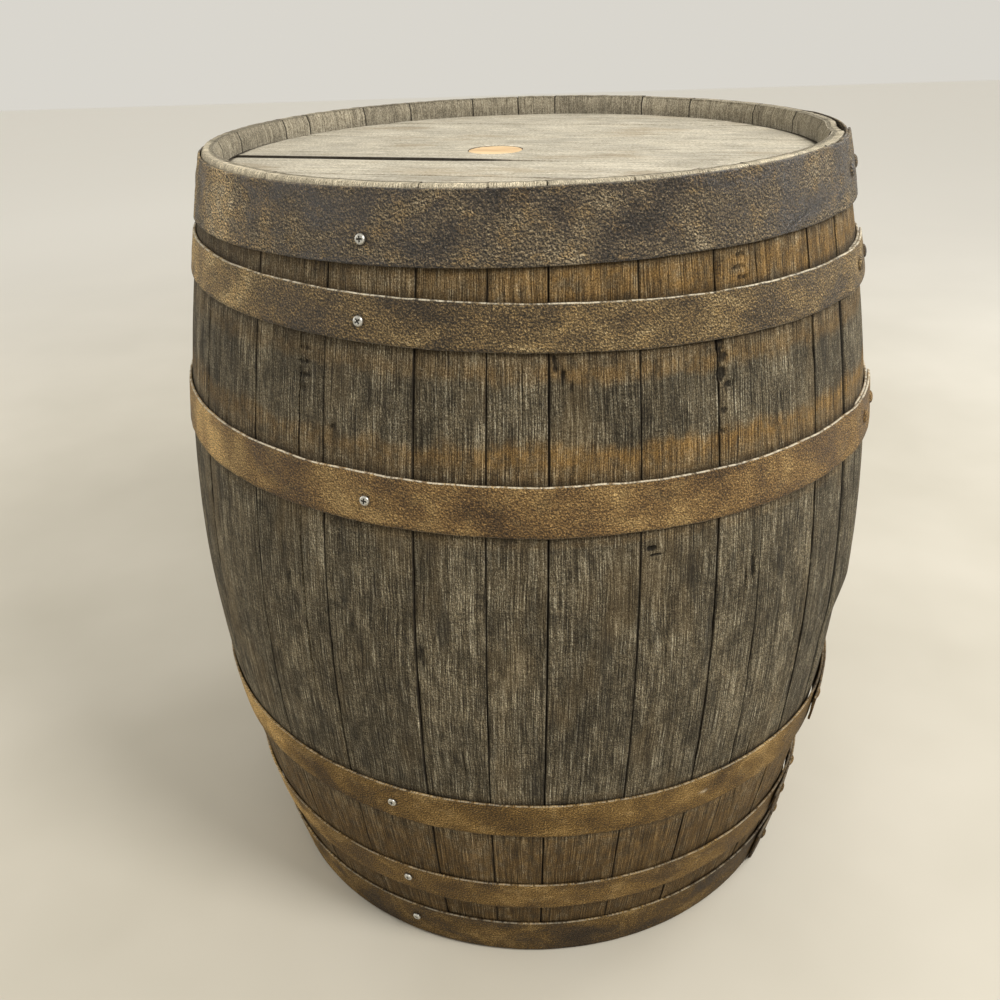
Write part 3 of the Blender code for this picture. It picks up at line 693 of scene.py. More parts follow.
def around(azimuth, other):
    """Degrees from one azimuth to another, between -180 and 180."""
    return (azimuth - other + 180.0) % 360.0 - 180.0


def between(value, low, high, ease_low, ease_high):
    """1 between low and high, easing to 0 outside them."""
    return smooth(value, low, low + ease_low) * (1 - smooth(value, high - ease_high, high))


def flattened(azimuth, z):
    """How far the cask is pressed in at azimuths and heights, in metres."""
    share = bulge(around(azimuth, FLAT_AZIMUTH), FLAT_REACH_DEG) * between(z, 0.04, 0.385, 0.11, 0.05)
    return FLAT_DEPTH * share


def hoop_edges(azimuth, hoop):
    """Heights of a hoop's lower and upper edges at azimuths in degrees."""
    middle = outer_radius(hoop["height"])
    angle = np.radians(azimuth)
    rise = middle * (np.sin(angle) * hoop["tilt"][0] - np.cos(angle) * hoop["tilt"][1])
    return hoop["height"] - hoop["width"] / 2 + rise, hoop["height"] + hoop["width"] / 2 + rise


def stained(azimuth, z):
    """Rust and painted shade on the staves at azimuths and heights, from the hoops next to them."""
    rust, soot = np.zeros_like(z), np.zeros_like(z)
    for number, hoop in enumerate(HOOPS.values()):
        lower, upper = hoop_edges(azimuth, hoop)
        for side, distance in (("above", z - upper), ("below", lower - z)):
            amount, reach = hoop[side]
            waver = 1.0 + layered(azimuth, z * 0 + number, 5, (0.16, 3.5, 1.0, 0), (0.08, 0.7, 1.0, 1))
            fall = 1.0 - smooth(distance, reach * 0.72 * waver, reach * 1.08 * waver)
            fall = fall * (0.55 + 0.45 * smooth(distance, reach * 0.30, reach * 0.55))
            fall = fall * (0.50 + 0.50 * smooth(np.sin(np.radians(azimuth)), -0.45, 0.20))
            rust = np.maximum(rust, amount * fall * smooth(distance, -0.004, 0.003))
            # Painted shade in a band beside each edge of the hoop.
            near = 1.0 - smooth(distance, 0.001, 0.005 + SHADE_SHARE * reach)
            soot = np.maximum(soot, 0.75 * near * (distance > -0.01))
        # Painted shade under the hoop itself.
        under = smooth(z - lower, 0.0, 0.002) * smooth(upper - z, 0.0, 0.002)
        soot = np.maximum(soot, 0.8 * under)
    return rust, soot


# Depths from the cask's end of the corners of the chime's bevel and of the croze groove.
CROZE_TOP = HEAD_DEPTH + TONGUE_DROP - GAP
CROZE_BOTTOM = HEAD_DEPTH + TONGUE_DROP + TONGUE_THICKNESS + GAP
CROZE_CORNERS = (CHIME_BEVEL, CROZE_TOP, CROZE_TOP + 0.0002, CROZE_BOTTOM, CROZE_BOTTOM + 0.0002)


def inner_radius(z):
    """Radius of the staves' inner side at height z: chime, croze groove, howel, then even thickness."""
    depth = np.minimum(z, HEIGHT - z)
    depths = (0.0, *CROZE_CORNERS, HOWEL_END)
    radii = (
        END_RADIUS - CHIME_FACE, CHIME_BORE, CHIME_BORE, CHIME_BORE + CROZE_DEPTH,
        CHIME_BORE + CROZE_DEPTH, CHIME_BORE, outer_radius(HOWEL_END) - STAVE_THICKNESS,
    )
    return np.where(depth < HOWEL_END, np.interp(depth, depths, radii), outer_radius(z) - STAVE_THICKNESS)


def seam_drift(azimuth, z):
    """How far round a joint stands from its azimuth in STAVE_JOINTS, in degrees, at heights z."""
    back = smooth(np.array(-math.cos(math.radians(azimuth))), -0.4, 0.2)
    return SEAM_DRIFT * (z - DRIFT_FRONT - (HEIGHT - DRIFT_FRONT) * float(back))


def seam_gap(number):
    """Half the opening of the joint before a stave."""
    number = (number - 1) % len(STAVE_JOINTS) + 1
    return OPEN_SEAMS.get(number, 0.0002 + 0.0003 * random_at(number, 1))


def stave_rows(nicks):
    """The heights of a stave's rows of points, closer together at its nicks."""
    ends = (*END_ROWS, *CROZE_CORNERS)
    heights = [*ends, *(HEIGHT - d for d in ends)]
    for _, height, _, half_height, _ in nicks:
        heights += [height + half_height * mark for mark in NICK_MARKS]
    for z in np.arange(STAVE_ROW * 2, HEIGHT - STAVE_ROW, STAVE_ROW):
        if min(abs(z - other) for other in heights) > STAVE_ROW * 0.3:
            heights.append(float(z))
    return np.array(sorted(set(heights)))


def stave_columns(start, width, checks, nicks):
    """Places across a stave of its columns of points, closer together at its edges, cracks and nicks."""
    places = [*EDGE_COLUMNS, *(width - d for d in EDGE_COLUMNS)]
    for check in checks:
        places += [check[1] * width + d for d in CHECK_COLUMNS]
    for azimuth, height, half_width, _, _ in nicks:
        middle = math.radians(azimuth - start - seam_drift(start, height)) * BILGE_RADIUS
        marks = [middle + half_width * mark for mark in NICK_MARKS]
        places += [x for x in marks if EDGE_COLUMNS[-1] < x < width - EDGE_COLUMNS[-1]]
    fixed = list(places)
    for x in np.linspace(0, width, max(6, round(width / STAVE_COLUMN))):
        if min(abs(x - other) for other in fixed) > STAVE_COLUMN * 0.45:
            places.append(float(x))
    return np.array(sorted(set(places)))


def stave_damage(number, S, Z, azimuth, width, checks, nicks):
    """How deep the cracks and nicks of a stave are, and how much fresh wood they show."""
    depth, fresh = np.zeros_like(S), np.zeros_like(S)
    for _, place, low, high, deep in checks:
        off = np.abs(S - place * width)
        uneven = 0.8 + 0.4 * noise(Z / 0.02, S * 0, number)
        depth += deep * between(Z, low, high, 0.03, 0.03) * (1 - smooth(off, 0.0003, 0.0010)) * uneven
    if number in (SPRUNG_JOINT - 1, SPRUNG_JOINT):
        off = S if number == SPRUNG_JOINT else width - S
        worn = np.clip(1.0 - off / SPRUNG_REACH, 0.0, 1.0)
        depth += SPRUNG_DEPTH * worn * between(Z, 0.24, 0.74, 0.06, 0.08)
    for place, height, half_width, half_height, deep in nicks:
        span = np.radians(azimuth - place) * BILGE_RADIUS
        within = 1.0 - (span / half_width) ** 2 - ((Z - height) / half_height) ** 2
        pit = np.sqrt(np.clip(within, 0.0, 1.0)) * (0.75 + 0.5 * noise(S / 0.0025, Z / 0.004, 31))
        depth += deep * pit
        if deep > FRESH_DEPTH:
            streaky = 0.7 + 0.5 * noise(S / 0.0022, Z / 0.03, 37)
            fresh = np.maximum(fresh, 0.75 * smooth(pit, 0.1, 0.7) * streaky)
    return depth, fresh


def top_wear(number, S, Z, width):
    """How far the points of a stave's top end stand over its CAD height."""
    worn = 0.0003 * noise(S / 0.009, S * 0 + number, 9) - 0.0003 - 0.0005 * random_at(number, 4)
    if number in BROKEN_TOPS:
        first, last, before, after = BROKEN_TOPS[number]
        worn = worn - before - (after - before) * smooth(S, width * first, width * last)
    foot = smooth(HEIGHT - Z, HEIGHT - 0.030, HEIGHT) * -worn * 0.4
    return smooth(Z, HEIGHT - 0.030, HEIGHT) * worn + foot


def stave_fields(number, azimuth, S, Z, width, hollow, fresh):
    """The fields that a stave's look reads, on its outer and on its inner grid."""
    rust, soot = stained(azimuth, Z)
    _, upper = hoop_edges(azimuth, HOOPS["upper_head_hoop"])
    at_end = smooth(Z, upper - 0.0010, upper + 0.0006)
    at_end[-2:] = 1.0
    at_end = at_end * (1.15 + 0.85 * smooth(np.cos(np.radians(azimuth)), -0.1, 0.5))
    at_end[0] = 1.0
    covered = 1 - np.minimum(at_end, 1)
    rust = np.maximum(rust * covered, 0.85 * (1 - smooth(Z, 0.16, 0.25)) * (at_end < 1))
    # Painted shade: the staves darken towards the bottom.
    soot = np.maximum(soot * covered, 0.62 * (1 - smooth(Z, 0.12, 0.24)) * (at_end < 1))
    zero, own = np.zeros_like(S), 20.0 * random_at(number, 7)
    board = zero + random_at(number, 8) + STAVE_TONES.get(number, 0.0)
    shared = {"board": board, "edge": np.minimum(S, width - S)}
    outer = {
        **shared, "grain": np.stack((S + own, zero, Z + own), axis=-1), "rust": rust, "soot": soot,
        "hollow": hollow * np.clip(1 - fresh, 0.0, 1.0),
        "chime": np.maximum(at_end, np.clip(fresh, 0.0, 0.8)), "inside": zero,
    }
    behind = np.minimum(Z, HEIGHT - Z)
    inner = {
        **shared, "grain": np.stack((S + own, zero + STAVE_THICKNESS, Z + own), axis=-1),
        "rust": zero, "soot": zero, "hollow": zero, "chime": 1.0 - smooth(behind, 0.022, 0.026),
        "inside": smooth(behind, 0.030, 0.040),
    }
    return outer, inner


def build_stave(number, start, end):
    """One stave, worn and cracked, in place of its CAD solid."""
    name = "bung_stave" if number == BUNG_STAVE else f"stave_{number:02d}"
    width = math.radians(end - start) * BILGE_RADIUS
    checks = [check for check in CHECKS if check[0] == number]
    nicks = [nick for nick in NICKS if start - 4 < nick[0] < end + 4]
    z = stave_rows(nicks)
    S, Z = np.meshgrid(stave_columns(start, width, checks, nicks), z)
    edge = np.minimum(S, width - S)

    wander = layered(Z, S * 0 + number, 11, (0.0014, 0.07, 1.0, 0), (0.0005, 0.015, 1.0, 1))
    shift = wander * smooth(edge, 0.002, 0.008)
    gaps = (seam_gap(number), seam_gap(number + 1))
    leans = (seam_drift(start, Z), seam_drift(end, Z))
    drift = leans[0] + (leans[1] - leans[0]) * S / width
    squeeze = (width - sum(gaps)) / width
    azimuth = start + drift + np.degrees((gaps[0] + (S + shift) * squeeze) / BILGE_RADIUS)
    depth, fresh = stave_damage(number, S, Z, azimuth, width, checks, nicks)

    chips = np.clip(noise(Z / 0.022, S * 0 + number * 3, 21) - 0.45, 0, 1) * 2.2
    chips = chips * (1 - smooth(Z, HEIGHT - 0.03, HEIGHT - 0.01))
    ease = 0.0004 * (1.0 + 0.5 * noise(Z / 0.05, S * 0 + number, 22)) + 0.0012 * chips
    eased = ease * np.clip(1.0 - edge / (0.0012 + 0.0014 * chips), 0.0, 1.0) ** 2
    lean = (random_at(number, 3) - 0.5) * 0.0010 * (S / width - 0.5) * 2
    proud = 0.0003 if number == PROUD_STAVE else -0.0008 + 0.0011 * random_at(number, 2)
    ends = np.minimum(Z, HEIGHT - Z)
    chamfer = 0.0016 * np.clip(1.0 - ends / 0.0030, 0.0, 1.0) ** 2
    dent = flattened(azimuth, Z)
    relief = layered(S, Z, number, *STAVE_RELIEF)
    radius = outer_radius(Z) + proud + lean + relief - eased - depth - chamfer - dent
    outer_z = Z + top_wear(number, S, Z, width)

    inner = inner_radius(Z) + layered(S, Z, number, INNER_RELIEF) - dent
    inner_z = outer_z.copy()
    inner[[0, -1]] = np.interp(0.0020, (0.0, CHIME_BEVEL), (END_RADIUS - CHIME_FACE, CHIME_BORE))
    inner_z[0] += 0.0005
    inner_z[-1] -= 0.0005
    inner_azimuth = start + drift + np.degrees((0.0002 + S * (width - 0.0004) / width) / BILGE_RADIUS)

    # The end grain: a row half way in on the outer grid, slightly dished, and the lip on the inner one.
    face = (radius[[0, -1]] + END_RADIUS - CHIME_FACE) / 2
    dish = 0.0003 + 0.0002 * noise(S[[0, -1]] / 0.004, S[[0, -1]] * 0, number + 5)
    outer = np.concatenate((
        polar(azimuth[:1], face[:1], outer_z[:1] + dish[:1]), polar(azimuth, radius, outer_z),
        polar(azimuth[-1:], face[1:], outer_z[-1:] - dish[1:]),
    ))
    lip = END_RADIUS - CHIME_FACE + 0.0006
    inside = np.concatenate((
        polar(inner_azimuth[:1], lip, outer_z[:1] + 0.0003), polar(inner_azimuth, inner, inner_z),
        polar(inner_azimuth[-1:], lip, outer_z[-1:] - 0.0003),
    ))
    pad = ((1, 1), (0, 0))
    fields_outer, fields_inner = stave_fields(
        number, *(np.pad(values, pad, "edge") for values in (azimuth, S, Z)), width,
        *(np.pad(values, pad) for values in (depth * 0.75 + eased * 0.35, fresh)),
    )
    hole = None
    if number == BUNG_STAVE:
        hole = bung_hole(outer, inside, np.concatenate(([0.0], z, [HEIGHT])), (start + end) / 2)
    points, faces, fields = slab(outer, inside, fields_outer, fields_inner, hole)
    piece = make_object(name + "_look", points, faces, fields, stave_oak)
    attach(piece, "cask")
    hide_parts(name)


def bung_hole(outer, inner, heights, azimuth):
    """The block of cells and the two rings of points of the round hole for the bilge bung."""
    reach = BILGE_BUNG_RADIUS + 0.004
    along = outer[len(heights) // 2] @ polar(azimuth + 90.0, 1.0, 0.0)
    block = (*cells(heights, HEIGHT / 2, reach), *cells(along, 0.0, reach))
    columns = outer.shape[1]
    normal = polar(azimuth, 1.0, 0.0)
    side = polar(azimuth + 90.0, 1.0, 0.0)
    rings = []
    bore = BILGE_BUNG_RADIUS + 2 * GAP
    for grid, radius in ((outer, bore), (inner, bore - BILGE_BUNG_TAPER)):
        flat = grid.reshape(-1, 3)
        ring = []
        for i in block_loop(block, columns):
            x, y = float(flat[i] @ side), flat[i][2] - HEIGHT / 2
            scale = radius / math.hypot(x, y)
            x, y = x * scale, y * scale
            near = math.sqrt(float(np.linalg.norm(flat[i][:2])) ** 2 - x * x)
            ring.append(normal * near + side * x + np.array((0.0, 0.0, HEIGHT / 2 + y)))
        rings.append(np.array(ring))
    return block, *rings


def build_staves():
    ends = STAVE_JOINTS[1:] + (STAVE_JOINTS[0] + 360.0,)
    for number, (start, end) in enumerate(zip(STAVE_JOINTS, ends), 1):
        build_stave(number, start, end)


# ---------------------------------------------------------------- heads


# The open joint of the top head: how far it lets each board beside it sink, and over what width.
SUNK_BOARDS = {2: 0.0013, 3: -0.0012}
SUNK_REACH = 0.016
# How far the painted shadow of that joint reaches over each board.
JOINT_SHADOW_REACH = {2: 0.0030, 3: 0.0008}
BOARD_GAP = 0.0005
BOARD_ROW = 0.004
BOARD_COLUMNS = 140
BOARD_RELIEF = ((0.00016, 0.10, 0.006, 0), (0.00030, 0.20, 0.03, 7))


def board_plan(low, high):
    """A function that gives the board's points, across and along it, on a disc of any radius."""
    first = -HEAD_FACE_RADIUS if low is None else low + BOARD_GAP
    last = HEAD_FACE_RADIUS if high is None else high - BOARD_GAP
    near = np.array(EDGE_COLUMNS) / (last - first)
    count = max(8, round((last - first) / BOARD_ROW))
    rows = np.array(sorted({*near, *(1 - near), *np.linspace(0, 1, count)[1:-1]}))
    turn = math.pi / 2 * 0.96
    columns = np.sin(np.linspace(-1, 1, BOARD_COLUMNS) * turn) / math.sin(turn)

    def plan(limit):
        reach = limit * 0.9985
        start = -reach if low is None else max(first, -reach)
        end = reach if high is None else min(last, reach)
        y = start + (end - start) * rows
        x = np.sqrt(np.maximum(limit**2 - y**2, 0.0))
        return y[:, None] * np.ones(len(columns)), x[:, None] * columns

    return plan, (first + last) / 2, (last - first) / 2


def build_board(side, number, low, high):
    """One head board: worn face, eased sawn edges, and the thin tongue round its rim."""
    head = HEADS[side]
    top = side == "top"
    seed = number + (0 if top else 20)
    plan, middle, half = board_plan(low, high)
    Y, X = plan(HEAD_FACE_RADIUS)
    rows, columns = Y.shape
    count = rows * columns
    seam = np.full_like(Y, 1.0)
    if low is not None:
        seam = np.minimum(seam, Y - low)
    if high is not None:
        seam = np.minimum(seam, high - Y)
    rim = np.maximum(HEAD_FACE_RADIUS - np.hypot(X, Y), 0.0)
    eased = 0.0003 * np.clip(1.0 - seam / 0.0022, 0, 1) ** 2
    hollow = 0.0005 * (1 - smooth(seam, 0.0002, 0.0010)) + eased
    if top and number in SUNK_BOARDS:
        beside = np.abs(Y - head["seams"][1])
        sunk = np.clip(1.0 - beside / SUNK_REACH, 0, 1) * (1 - smooth(X, -0.08, 0.10))
        eased = eased + SUNK_BOARDS[number] * sunk
        # Painted shadow along the open joint.
        reach = JOINT_SHADOW_REACH[number]
        hollow += 0.0026 * (1 - smooth(beside, reach, reach * 1.8)) * (1 - smooth(X, -0.12, 0.06))
    face = layered(X, Y, seed, *BOARD_RELIEF) - 0.0002 * ((Y - middle) / half) ** 2
    face = face + 0.0002 * (random_at(seed, 5) - 0.5) - eased
    face = face - 0.0012 * np.clip(1.0 - rim / 0.0025, 0, 1) ** 2
    under_y, under_x = plan(HEAD_INNER_RADIUS)
    points = [
        *np.stack((X, Y, face), axis=-1).reshape(-1, 3),
        *np.stack((under_x, under_y, under_y * 0 - HEAD_THICKNESS), axis=-1).reshape(-1, 3),
    ]
    grain = np.stack((X + 2.0 * random_at(seed, 9), Y + 3.0 * random_at(seed, 6), X * 0), axis=-1)
    board = X * 0 + random_at(seed, 8)
    sides = {
        "grain": (grain, grain), "board": (board, board),
        "edge": (rim, X * 0 + 0.02), "hollow": (hollow, X * 0),
    }
    fields = {
        key: [*over.reshape(count, -1), *under.reshape(count, -1)] for key, (over, under) in sides.items()
    }

    block, rings = None, ()
    if top and number == 3:
        centre = np.array(HEAD_BUNG_PLACE)
        reach = HEAD_BUNG_RADIUS + 0.004
        along = X[int(np.argmin(np.abs(Y[:, 0] - centre[1])))]
        block = (*cells(Y[:, 0], centre[1], reach), *cells(along, centre[0], reach))
        rings = []
        bore = HEAD_BUNG_RADIUS + 0.0005
        for start, radius in ((0, bore), (count, bore - HEAD_BUNG_TAPER)):
            border = np.array([points[i] for i in block_loop(block, columns, start)])
            off = border[:, :2] - centre
            border[:, :2] = centre + off * (radius / np.hypot(*off.T))[:, None]
            rings.append(border)
    faces = grid_faces(rows, columns, 0, False, block) + grid_faces(rows, columns, count, True, block)

    # The board's side, down from its face round the tongue to its underside.
    outline = block_loop((0, rows - 1, 0, columns - 1), columns)
    tongue = -TONGUE_DROP - TONGUE_THICKNESS
    loops = [outline]
    for limit, level in (
        (HEAD_RADIUS, -TONGUE_DROP - 0.0004), (TONGUE_RADIUS, -TONGUE_DROP - 0.0005),
        (TONGUE_RADIUS, tongue), (HEAD_RADIUS, tongue - 0.0001),
    ):
        y, x = plan(limit)
        flat = np.stack((x, y, x * 0 + level), axis=-1).reshape(-1, 3)
        loops.append(list(range(len(points), len(points) + len(outline))))
        points.extend(flat[i] for i in outline)
        for values in fields.values():
            values.extend([values[i] for i in outline])
    loops.append([count + i for i in outline])
    for upper, lower in zip(loops, loops[1:]):
        faces += band(lower, upper)
    if block:
        at_rim = {"edge": 0.001}
        points, faces, fields = open_hole(points, faces, fields, block, columns, count, rings, at_rim)
    fields = {key: np.squeeze(np.array(values)) for key, values in fields.items()}
    placed = Matrix.Translation((0, 0, head["face"])) @ Matrix.Rotation(math.radians(head["turn"]), 4, "Z")
    if not top:
        placed = placed @ Matrix.Rotation(math.pi, 4, "X")
    points = np.array(points) @ np.array(placed.to_3x3()).T + np.array(placed.translation)
    name = f"{side}_head_board_{number}"
    piece = make_object(name + "_look", points, faces, fields, head_oak)
    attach(piece, "cask")
    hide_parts(name)


def build_heads():
    for side, head in HEADS.items():
        edges = (None, *head["seams"], None)
        for number, (low, high) in enumerate(zip(edges, edges[1:]), 1):
            build_board(side, number, low, high)
        for number in range(1, len(head["seams"]) + 1):
            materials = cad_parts[f"{side}_head_dowel_{number}"].data.materials
            materials.clear()
            materials.append(dowel_oak)


# ---------------------------------------------------------------- bungs


BUNG_SIDES = 72
FACE_RINGS = 16
BROKEN_EDGE = ((0.0010, 0.0001), (0.0003, 0.0005), (0.0, 0.0014))
BUNG_RELIEF = (0.00018, 0.012, 0.003, 0)


def build_bung(node, body, radius, taper, length, matrix, material, seed):
    """A turned plug with a broken edge and a slightly uneven face."""
    outline = [(0.0, length)]
    outline += [(radius * 0.93 * i / FACE_RINGS, length) for i in range(1, FACE_RINGS + 1)]
    outline += [(radius - back, length - drop) for back, drop in BROKEN_EDGE]
    outline += [(radius - taper * i / 6, length - 0.0014 - (length - 0.0022) * i / 6) for i in range(1, 6)]
    outline += [(radius - taper - 0.0006, 0.0), (0.0, 0.0)]
    points, faces = turned(outline, BUNG_SIDES)
    x, y, z = points.T
    points[:, 2] += (z > length - 0.0003) * (layered(x, y, seed, BUNG_RELIEF) - 0.0002)
    piece = make_object(node + "_look", points, faces, {}, material)
    piece.matrix_world = matrix
    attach(piece, body)
    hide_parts(node)


def build_bungs():
    turn = Matrix.Rotation(math.radians(HEADS["top"]["turn"]), 4, "Z")
    place = turn @ Vector((*HEAD_BUNG_PLACE, HEIGHT - HEAD_DEPTH - HEAD_THICKNESS))
    build_bung(
        "head_bung", "head_plug", HEAD_BUNG_RADIUS, HEAD_BUNG_TAPER, HEAD_THICKNESS,
        Matrix.Translation(place) @ turn, plug_wood, 3,
    )
    azimuth = (STAVE_JOINTS[BUNG_STAVE - 1] + STAVE_JOINTS[BUNG_STAVE]) / 2
    place = Vector(polar(azimuth, BILGE_RADIUS - STAVE_THICKNESS, HEIGHT / 2))
    turn = Matrix.Rotation(math.radians(azimuth), 4, "Z") @ Matrix.Rotation(math.pi / 2, 4, "X")
    build_bung(
        "bilge_bung", "bilge_plug", BILGE_BUNG_RADIUS, BILGE_BUNG_TAPER,
        STAVE_THICKNESS + BILGE_BUNG_PROUD, Matrix.Translation(place) @ turn, bung_wood, 8,
    )


# ---------------------------------------------------------------- hoops

# A fleck of old paint on the lower bilge hoop, and a nick in the lower quarter hoop's lower edge.
FLECK_AZIMUTH = 27.6
NICK_AZIMUTH = 41.3
NICK_DEPTH = 0.0016
# The hoops are rustiest round this azimuth, and their colour is lightened there too: painted light,
# a sheen as from a bright wall on their left.
RUST_AND_LIGHT_AZIMUTH = -62.0
RUST_AND_LIGHT_REACH_DEG = 18.0
# Sizes of a hoop's cells along and across it, and how much finer they are on the hammered hoop.
HOOP_STEP = 0.0040
HOOP_ROWS = 0.0030
FINER_STEP, FINER_ROWS = 0.62, 0.75
# Degrees over which a hoop's outer end climbs its beginning, flares off, and stands loose.
CLIMB_DEG = 6.0
FLARE_DEG = 7.5
LOOSE_DEG = 13.0
# Layers of noise along and across a hoop, as layered() takes them.
HAMMER_MARKS = ((0.6, 0.014, 0.011, 2), (0.5, 0.0055, 0.0050, 3), (0.7, 0.055, 0.03, 4))
EDGE_WAVER = ((1.0, 0.05, 1.0, 0), (0.5, 0.012, 1.0, 1))


def strip_points(hoop, azimuth, across, lift):
    """Points on a hoop: azimuth, place across its width from -1 to 1, and lift over its inner face."""
    lower, upper = hoop_edges(azimuth, hoop)
    z = (lower + upper) / 2 + across * (upper - lower) / 2
    return outer_radius(z) + HOOP_CLEARANCE + lift - flattened(azimuth, z), z


def hoop_grid(hoop):
    """How far each point of a hoop is along its winding, in degrees, and across it, from -1 to 1."""
    finer = hoop["look"] == "hammered"
    step, row = (HOOP_STEP * FINER_STEP, HOOP_ROWS * FINER_ROWS) if finer else (HOOP_STEP, HOOP_ROWS)
    total = 360.0 + LAP_DEG
    wound = np.linspace(0.0, total, int(math.radians(total) * outer_radius(hoop["height"]) / step))
    side = np.array([d / (hoop["width"] / 2) - 1 for d in (0.0001, 0.0004, 0.0010)])
    middle = np.linspace(-1, 1, int(hoop["width"] / row))[1:-1]
    return np.meshgrid(wound[:: hoop["way"]], np.concatenate((side, middle, -side[::-1])))


def hoop_marks(hoop, from_lap, W):
    """Dark rings round a hoop's rivets and screw, and painted shade at its lower edge and in an open lap.
    """
    radius, half = outer_radius(hoop["height"]), hoop["width"] / 2
    # Painted shade along the lower edge.
    grime = 0.5 * (1 - smooth((1 + W) * half, 0.0, 0.003))
    azimuth, rise = hoop["screw"]
    for place, level, size, ring, share in (
        (-RIVET_SPLAY_DEG, 0.0, RIVET_RADIUS, 0.002, 0.7), (RIVET_SPLAY_DEG, 0.0, RIVET_RADIUS, 0.002, 0.7),
        (azimuth - hoop["lap"], rise, SCREW_HEAD_RADIUS, 0.0012, 0.85),
    ):
        off = np.hypot(np.radians(from_lap - place) * radius, W * half - level)
        grime = np.maximum(grime, share * (1 - smooth(off, size, size + ring)))
    # Painted shade in the open laps of the lower hoops.
    if hoop["way"] < 0:
        grime = np.maximum(grime, 0.6 * bulge(from_lap + 2.0, 11.0))
    return grime


def build_hoop(name, hoop, seed):
    """A rusty strip bent round the cask, its riveted end riding over its beginning."""
    radius, half = outer_radius(hoop["height"]), hoop["width"] / 2
    total = 360.0 + LAP_DEG
    wound, W = hoop_grid(hoop)
    azimuth = hoop["lap"] + hoop["way"] * (wound - LAP_DEG / 2)
    from_lap = around(azimuth, hoop["lap"])
    along = np.radians(wound) * radius
    raised = smooth(wound, 360.0 - CLIMB_DEG, 360.0) * (HOOP_THICKNESS + GAP)
    raised = raised + smooth(wound, total - FLARE_DEG, total) * hoop["flare"]
    raised = raised + hoop["loose"] * bulge(from_lap, LOOSE_DEG)

    from_end = np.radians(total - wound) * radius
    clipped = 1.0 - np.clip(LAP_CLIP - from_end, 0.0, LAP_CLIP) / half
    clipped = clipped * (1.0 - np.clip(LAP_CLIP - along, 0.0, LAP_CLIP) / half * 0.5)
    wave = hoop["wave"] * layered(along, np.sign(W), seed, *EDGE_WAVER) * np.abs(W) ** 4
    if name == "lower_quarter_hoop":
        wave = wave + NICK_DEPTH * bulge(around(azimuth, NICK_AZIMUTH), 0.5) * (W < -0.8)
    edge = (1.0 - np.abs(W)) * half
    dents = hoop["relief"] * layered(along, W * half, seed, *HAMMER_MARKS) * smooth(edge, 0.0, 0.0015)
    ease = np.clip(1.0 - edge / 0.0011, 0.0, 1.0) ** 2 * 0.0006
    sides = []
    for lift in (raised + HOOP_THICKNESS + dents - ease, raised):
        r, z = strip_points(hoop, azimuth, W * clipped, lift)
        sides.append(polar(azimuth, r, z + wave))

    worn = 0.0006 + 0.0005 * (0.5 + 0.5 * noise(along / 0.02, W * 0, seed + 9))
    rim = (1 - smooth((1 - W) * half, 0.0002, worn)) * (W > 0)
    if name == "lower_bilge_hoop":
        fleck = (around(azimuth, FLECK_AZIMUTH) / 0.5) ** 2 + (W * half / 0.0018) ** 2
        rim = np.maximum(rim, 2.2 * np.exp(-fleck))
    low_rim = 0.25 * (1 - smooth((1 + W) * half, 0.0002, 0.0007)) * (W < 0)
    # The ochre field adds rust spots, and where it is high the look also paints light on the hoops.
    ochre = 0.6 * noise(from_lap / 9.0, W * 0, seed + 17) + 0.5 * noise(from_lap / 3.0, W * 1.2, seed + 18)
    ochre = ochre + 1.5 * bulge(around(azimuth, RUST_AND_LIGHT_AZIMUTH), RUST_AND_LIGHT_REACH_DEG)
    fields = {
        "strip": np.stack((along + seed * 3.1, W * half, along * 0), axis=-1), "rim": rim + low_rim,
        "grime": hoop_marks(hoop, from_lap, W), "ochre": ochre,
    }
    points, faces, fields = slab(*sides, fields, {**fields, "rim": rim * 0})
    rivet_points, rivet_faces = rivet_parts(hoop, seed)
    faces += [tuple(len(points) + i for i in face) for face in rivet_faces]
    plain = np.zeros(len(rivet_points))
    own = {"strip": rivet_points + seed, "rim": plain, "grime": plain, "ochre": plain}
    fields = {key: np.concatenate((values, own[key])) for key, values in fields.items()}
    points = np.concatenate((points, rivet_points))
    piece = make_object(name + "_look", points, faces, fields, steels[hoop["look"]])
    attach(piece, "cask")
    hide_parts(name)


def on_hoop(hoop, azimuth, lift, rise=0.0):
    """A fastener's matrix at a rise over the hoop's centre line, its axis along the hoop's normal."""
    r, z = strip_points(hoop, np.array(float(azimuth)), 2 * rise / hoop["width"], lift)
    place = Vector(polar(azimuth, float(r), float(z)))
    tip = Matrix.Rotation(outer_normal_angle(float(z)), 4, "X")
    return Matrix.Translation(place) @ Matrix.Rotation(math.radians(azimuth), 4, "Z") @ tip


def rivet_parts(hoop, seed):
    """Points and faces of the two domed, hammered rivets of a hoop's lap."""
    outline = [(0.0, RIVET_HEIGHT)]
    for i in range(1, 9):
        angle = math.radians(90 - i * 11.25)
        outline.append((RIVET_RADIUS * math.cos(angle), RIVET_HEIGHT * math.sin(angle)))
    outline += [(RIVET_RADIUS * 0.99, -0.0006), (0.0, -0.0008)]
    dome, dome_faces = turned(outline, 28)
    points, faces = [], []
    for number, shift in enumerate((-RIVET_SPLAY_DEG, RIVET_SPLAY_DEG)):
        lift = 2 * HOOP_THICKNESS + GAP + hoop["loose"] * 0.92
        matrix = np.array(on_hoop(hoop, hoop["lap"] + shift, lift))
        wobble = 1.0 + 0.05 * noise(dome[:, 0] / 0.003 + 9 * number, dome[:, 1] / 0.003 + seed, 4)
        shaped = dome * wobble[:, None] @ matrix[:3, :3].T + matrix[:3, 3]
        faces += [tuple(len(points) + i for i in face) for face in dome_faces]
        points.extend(shaped)
    return np.array(points), faces


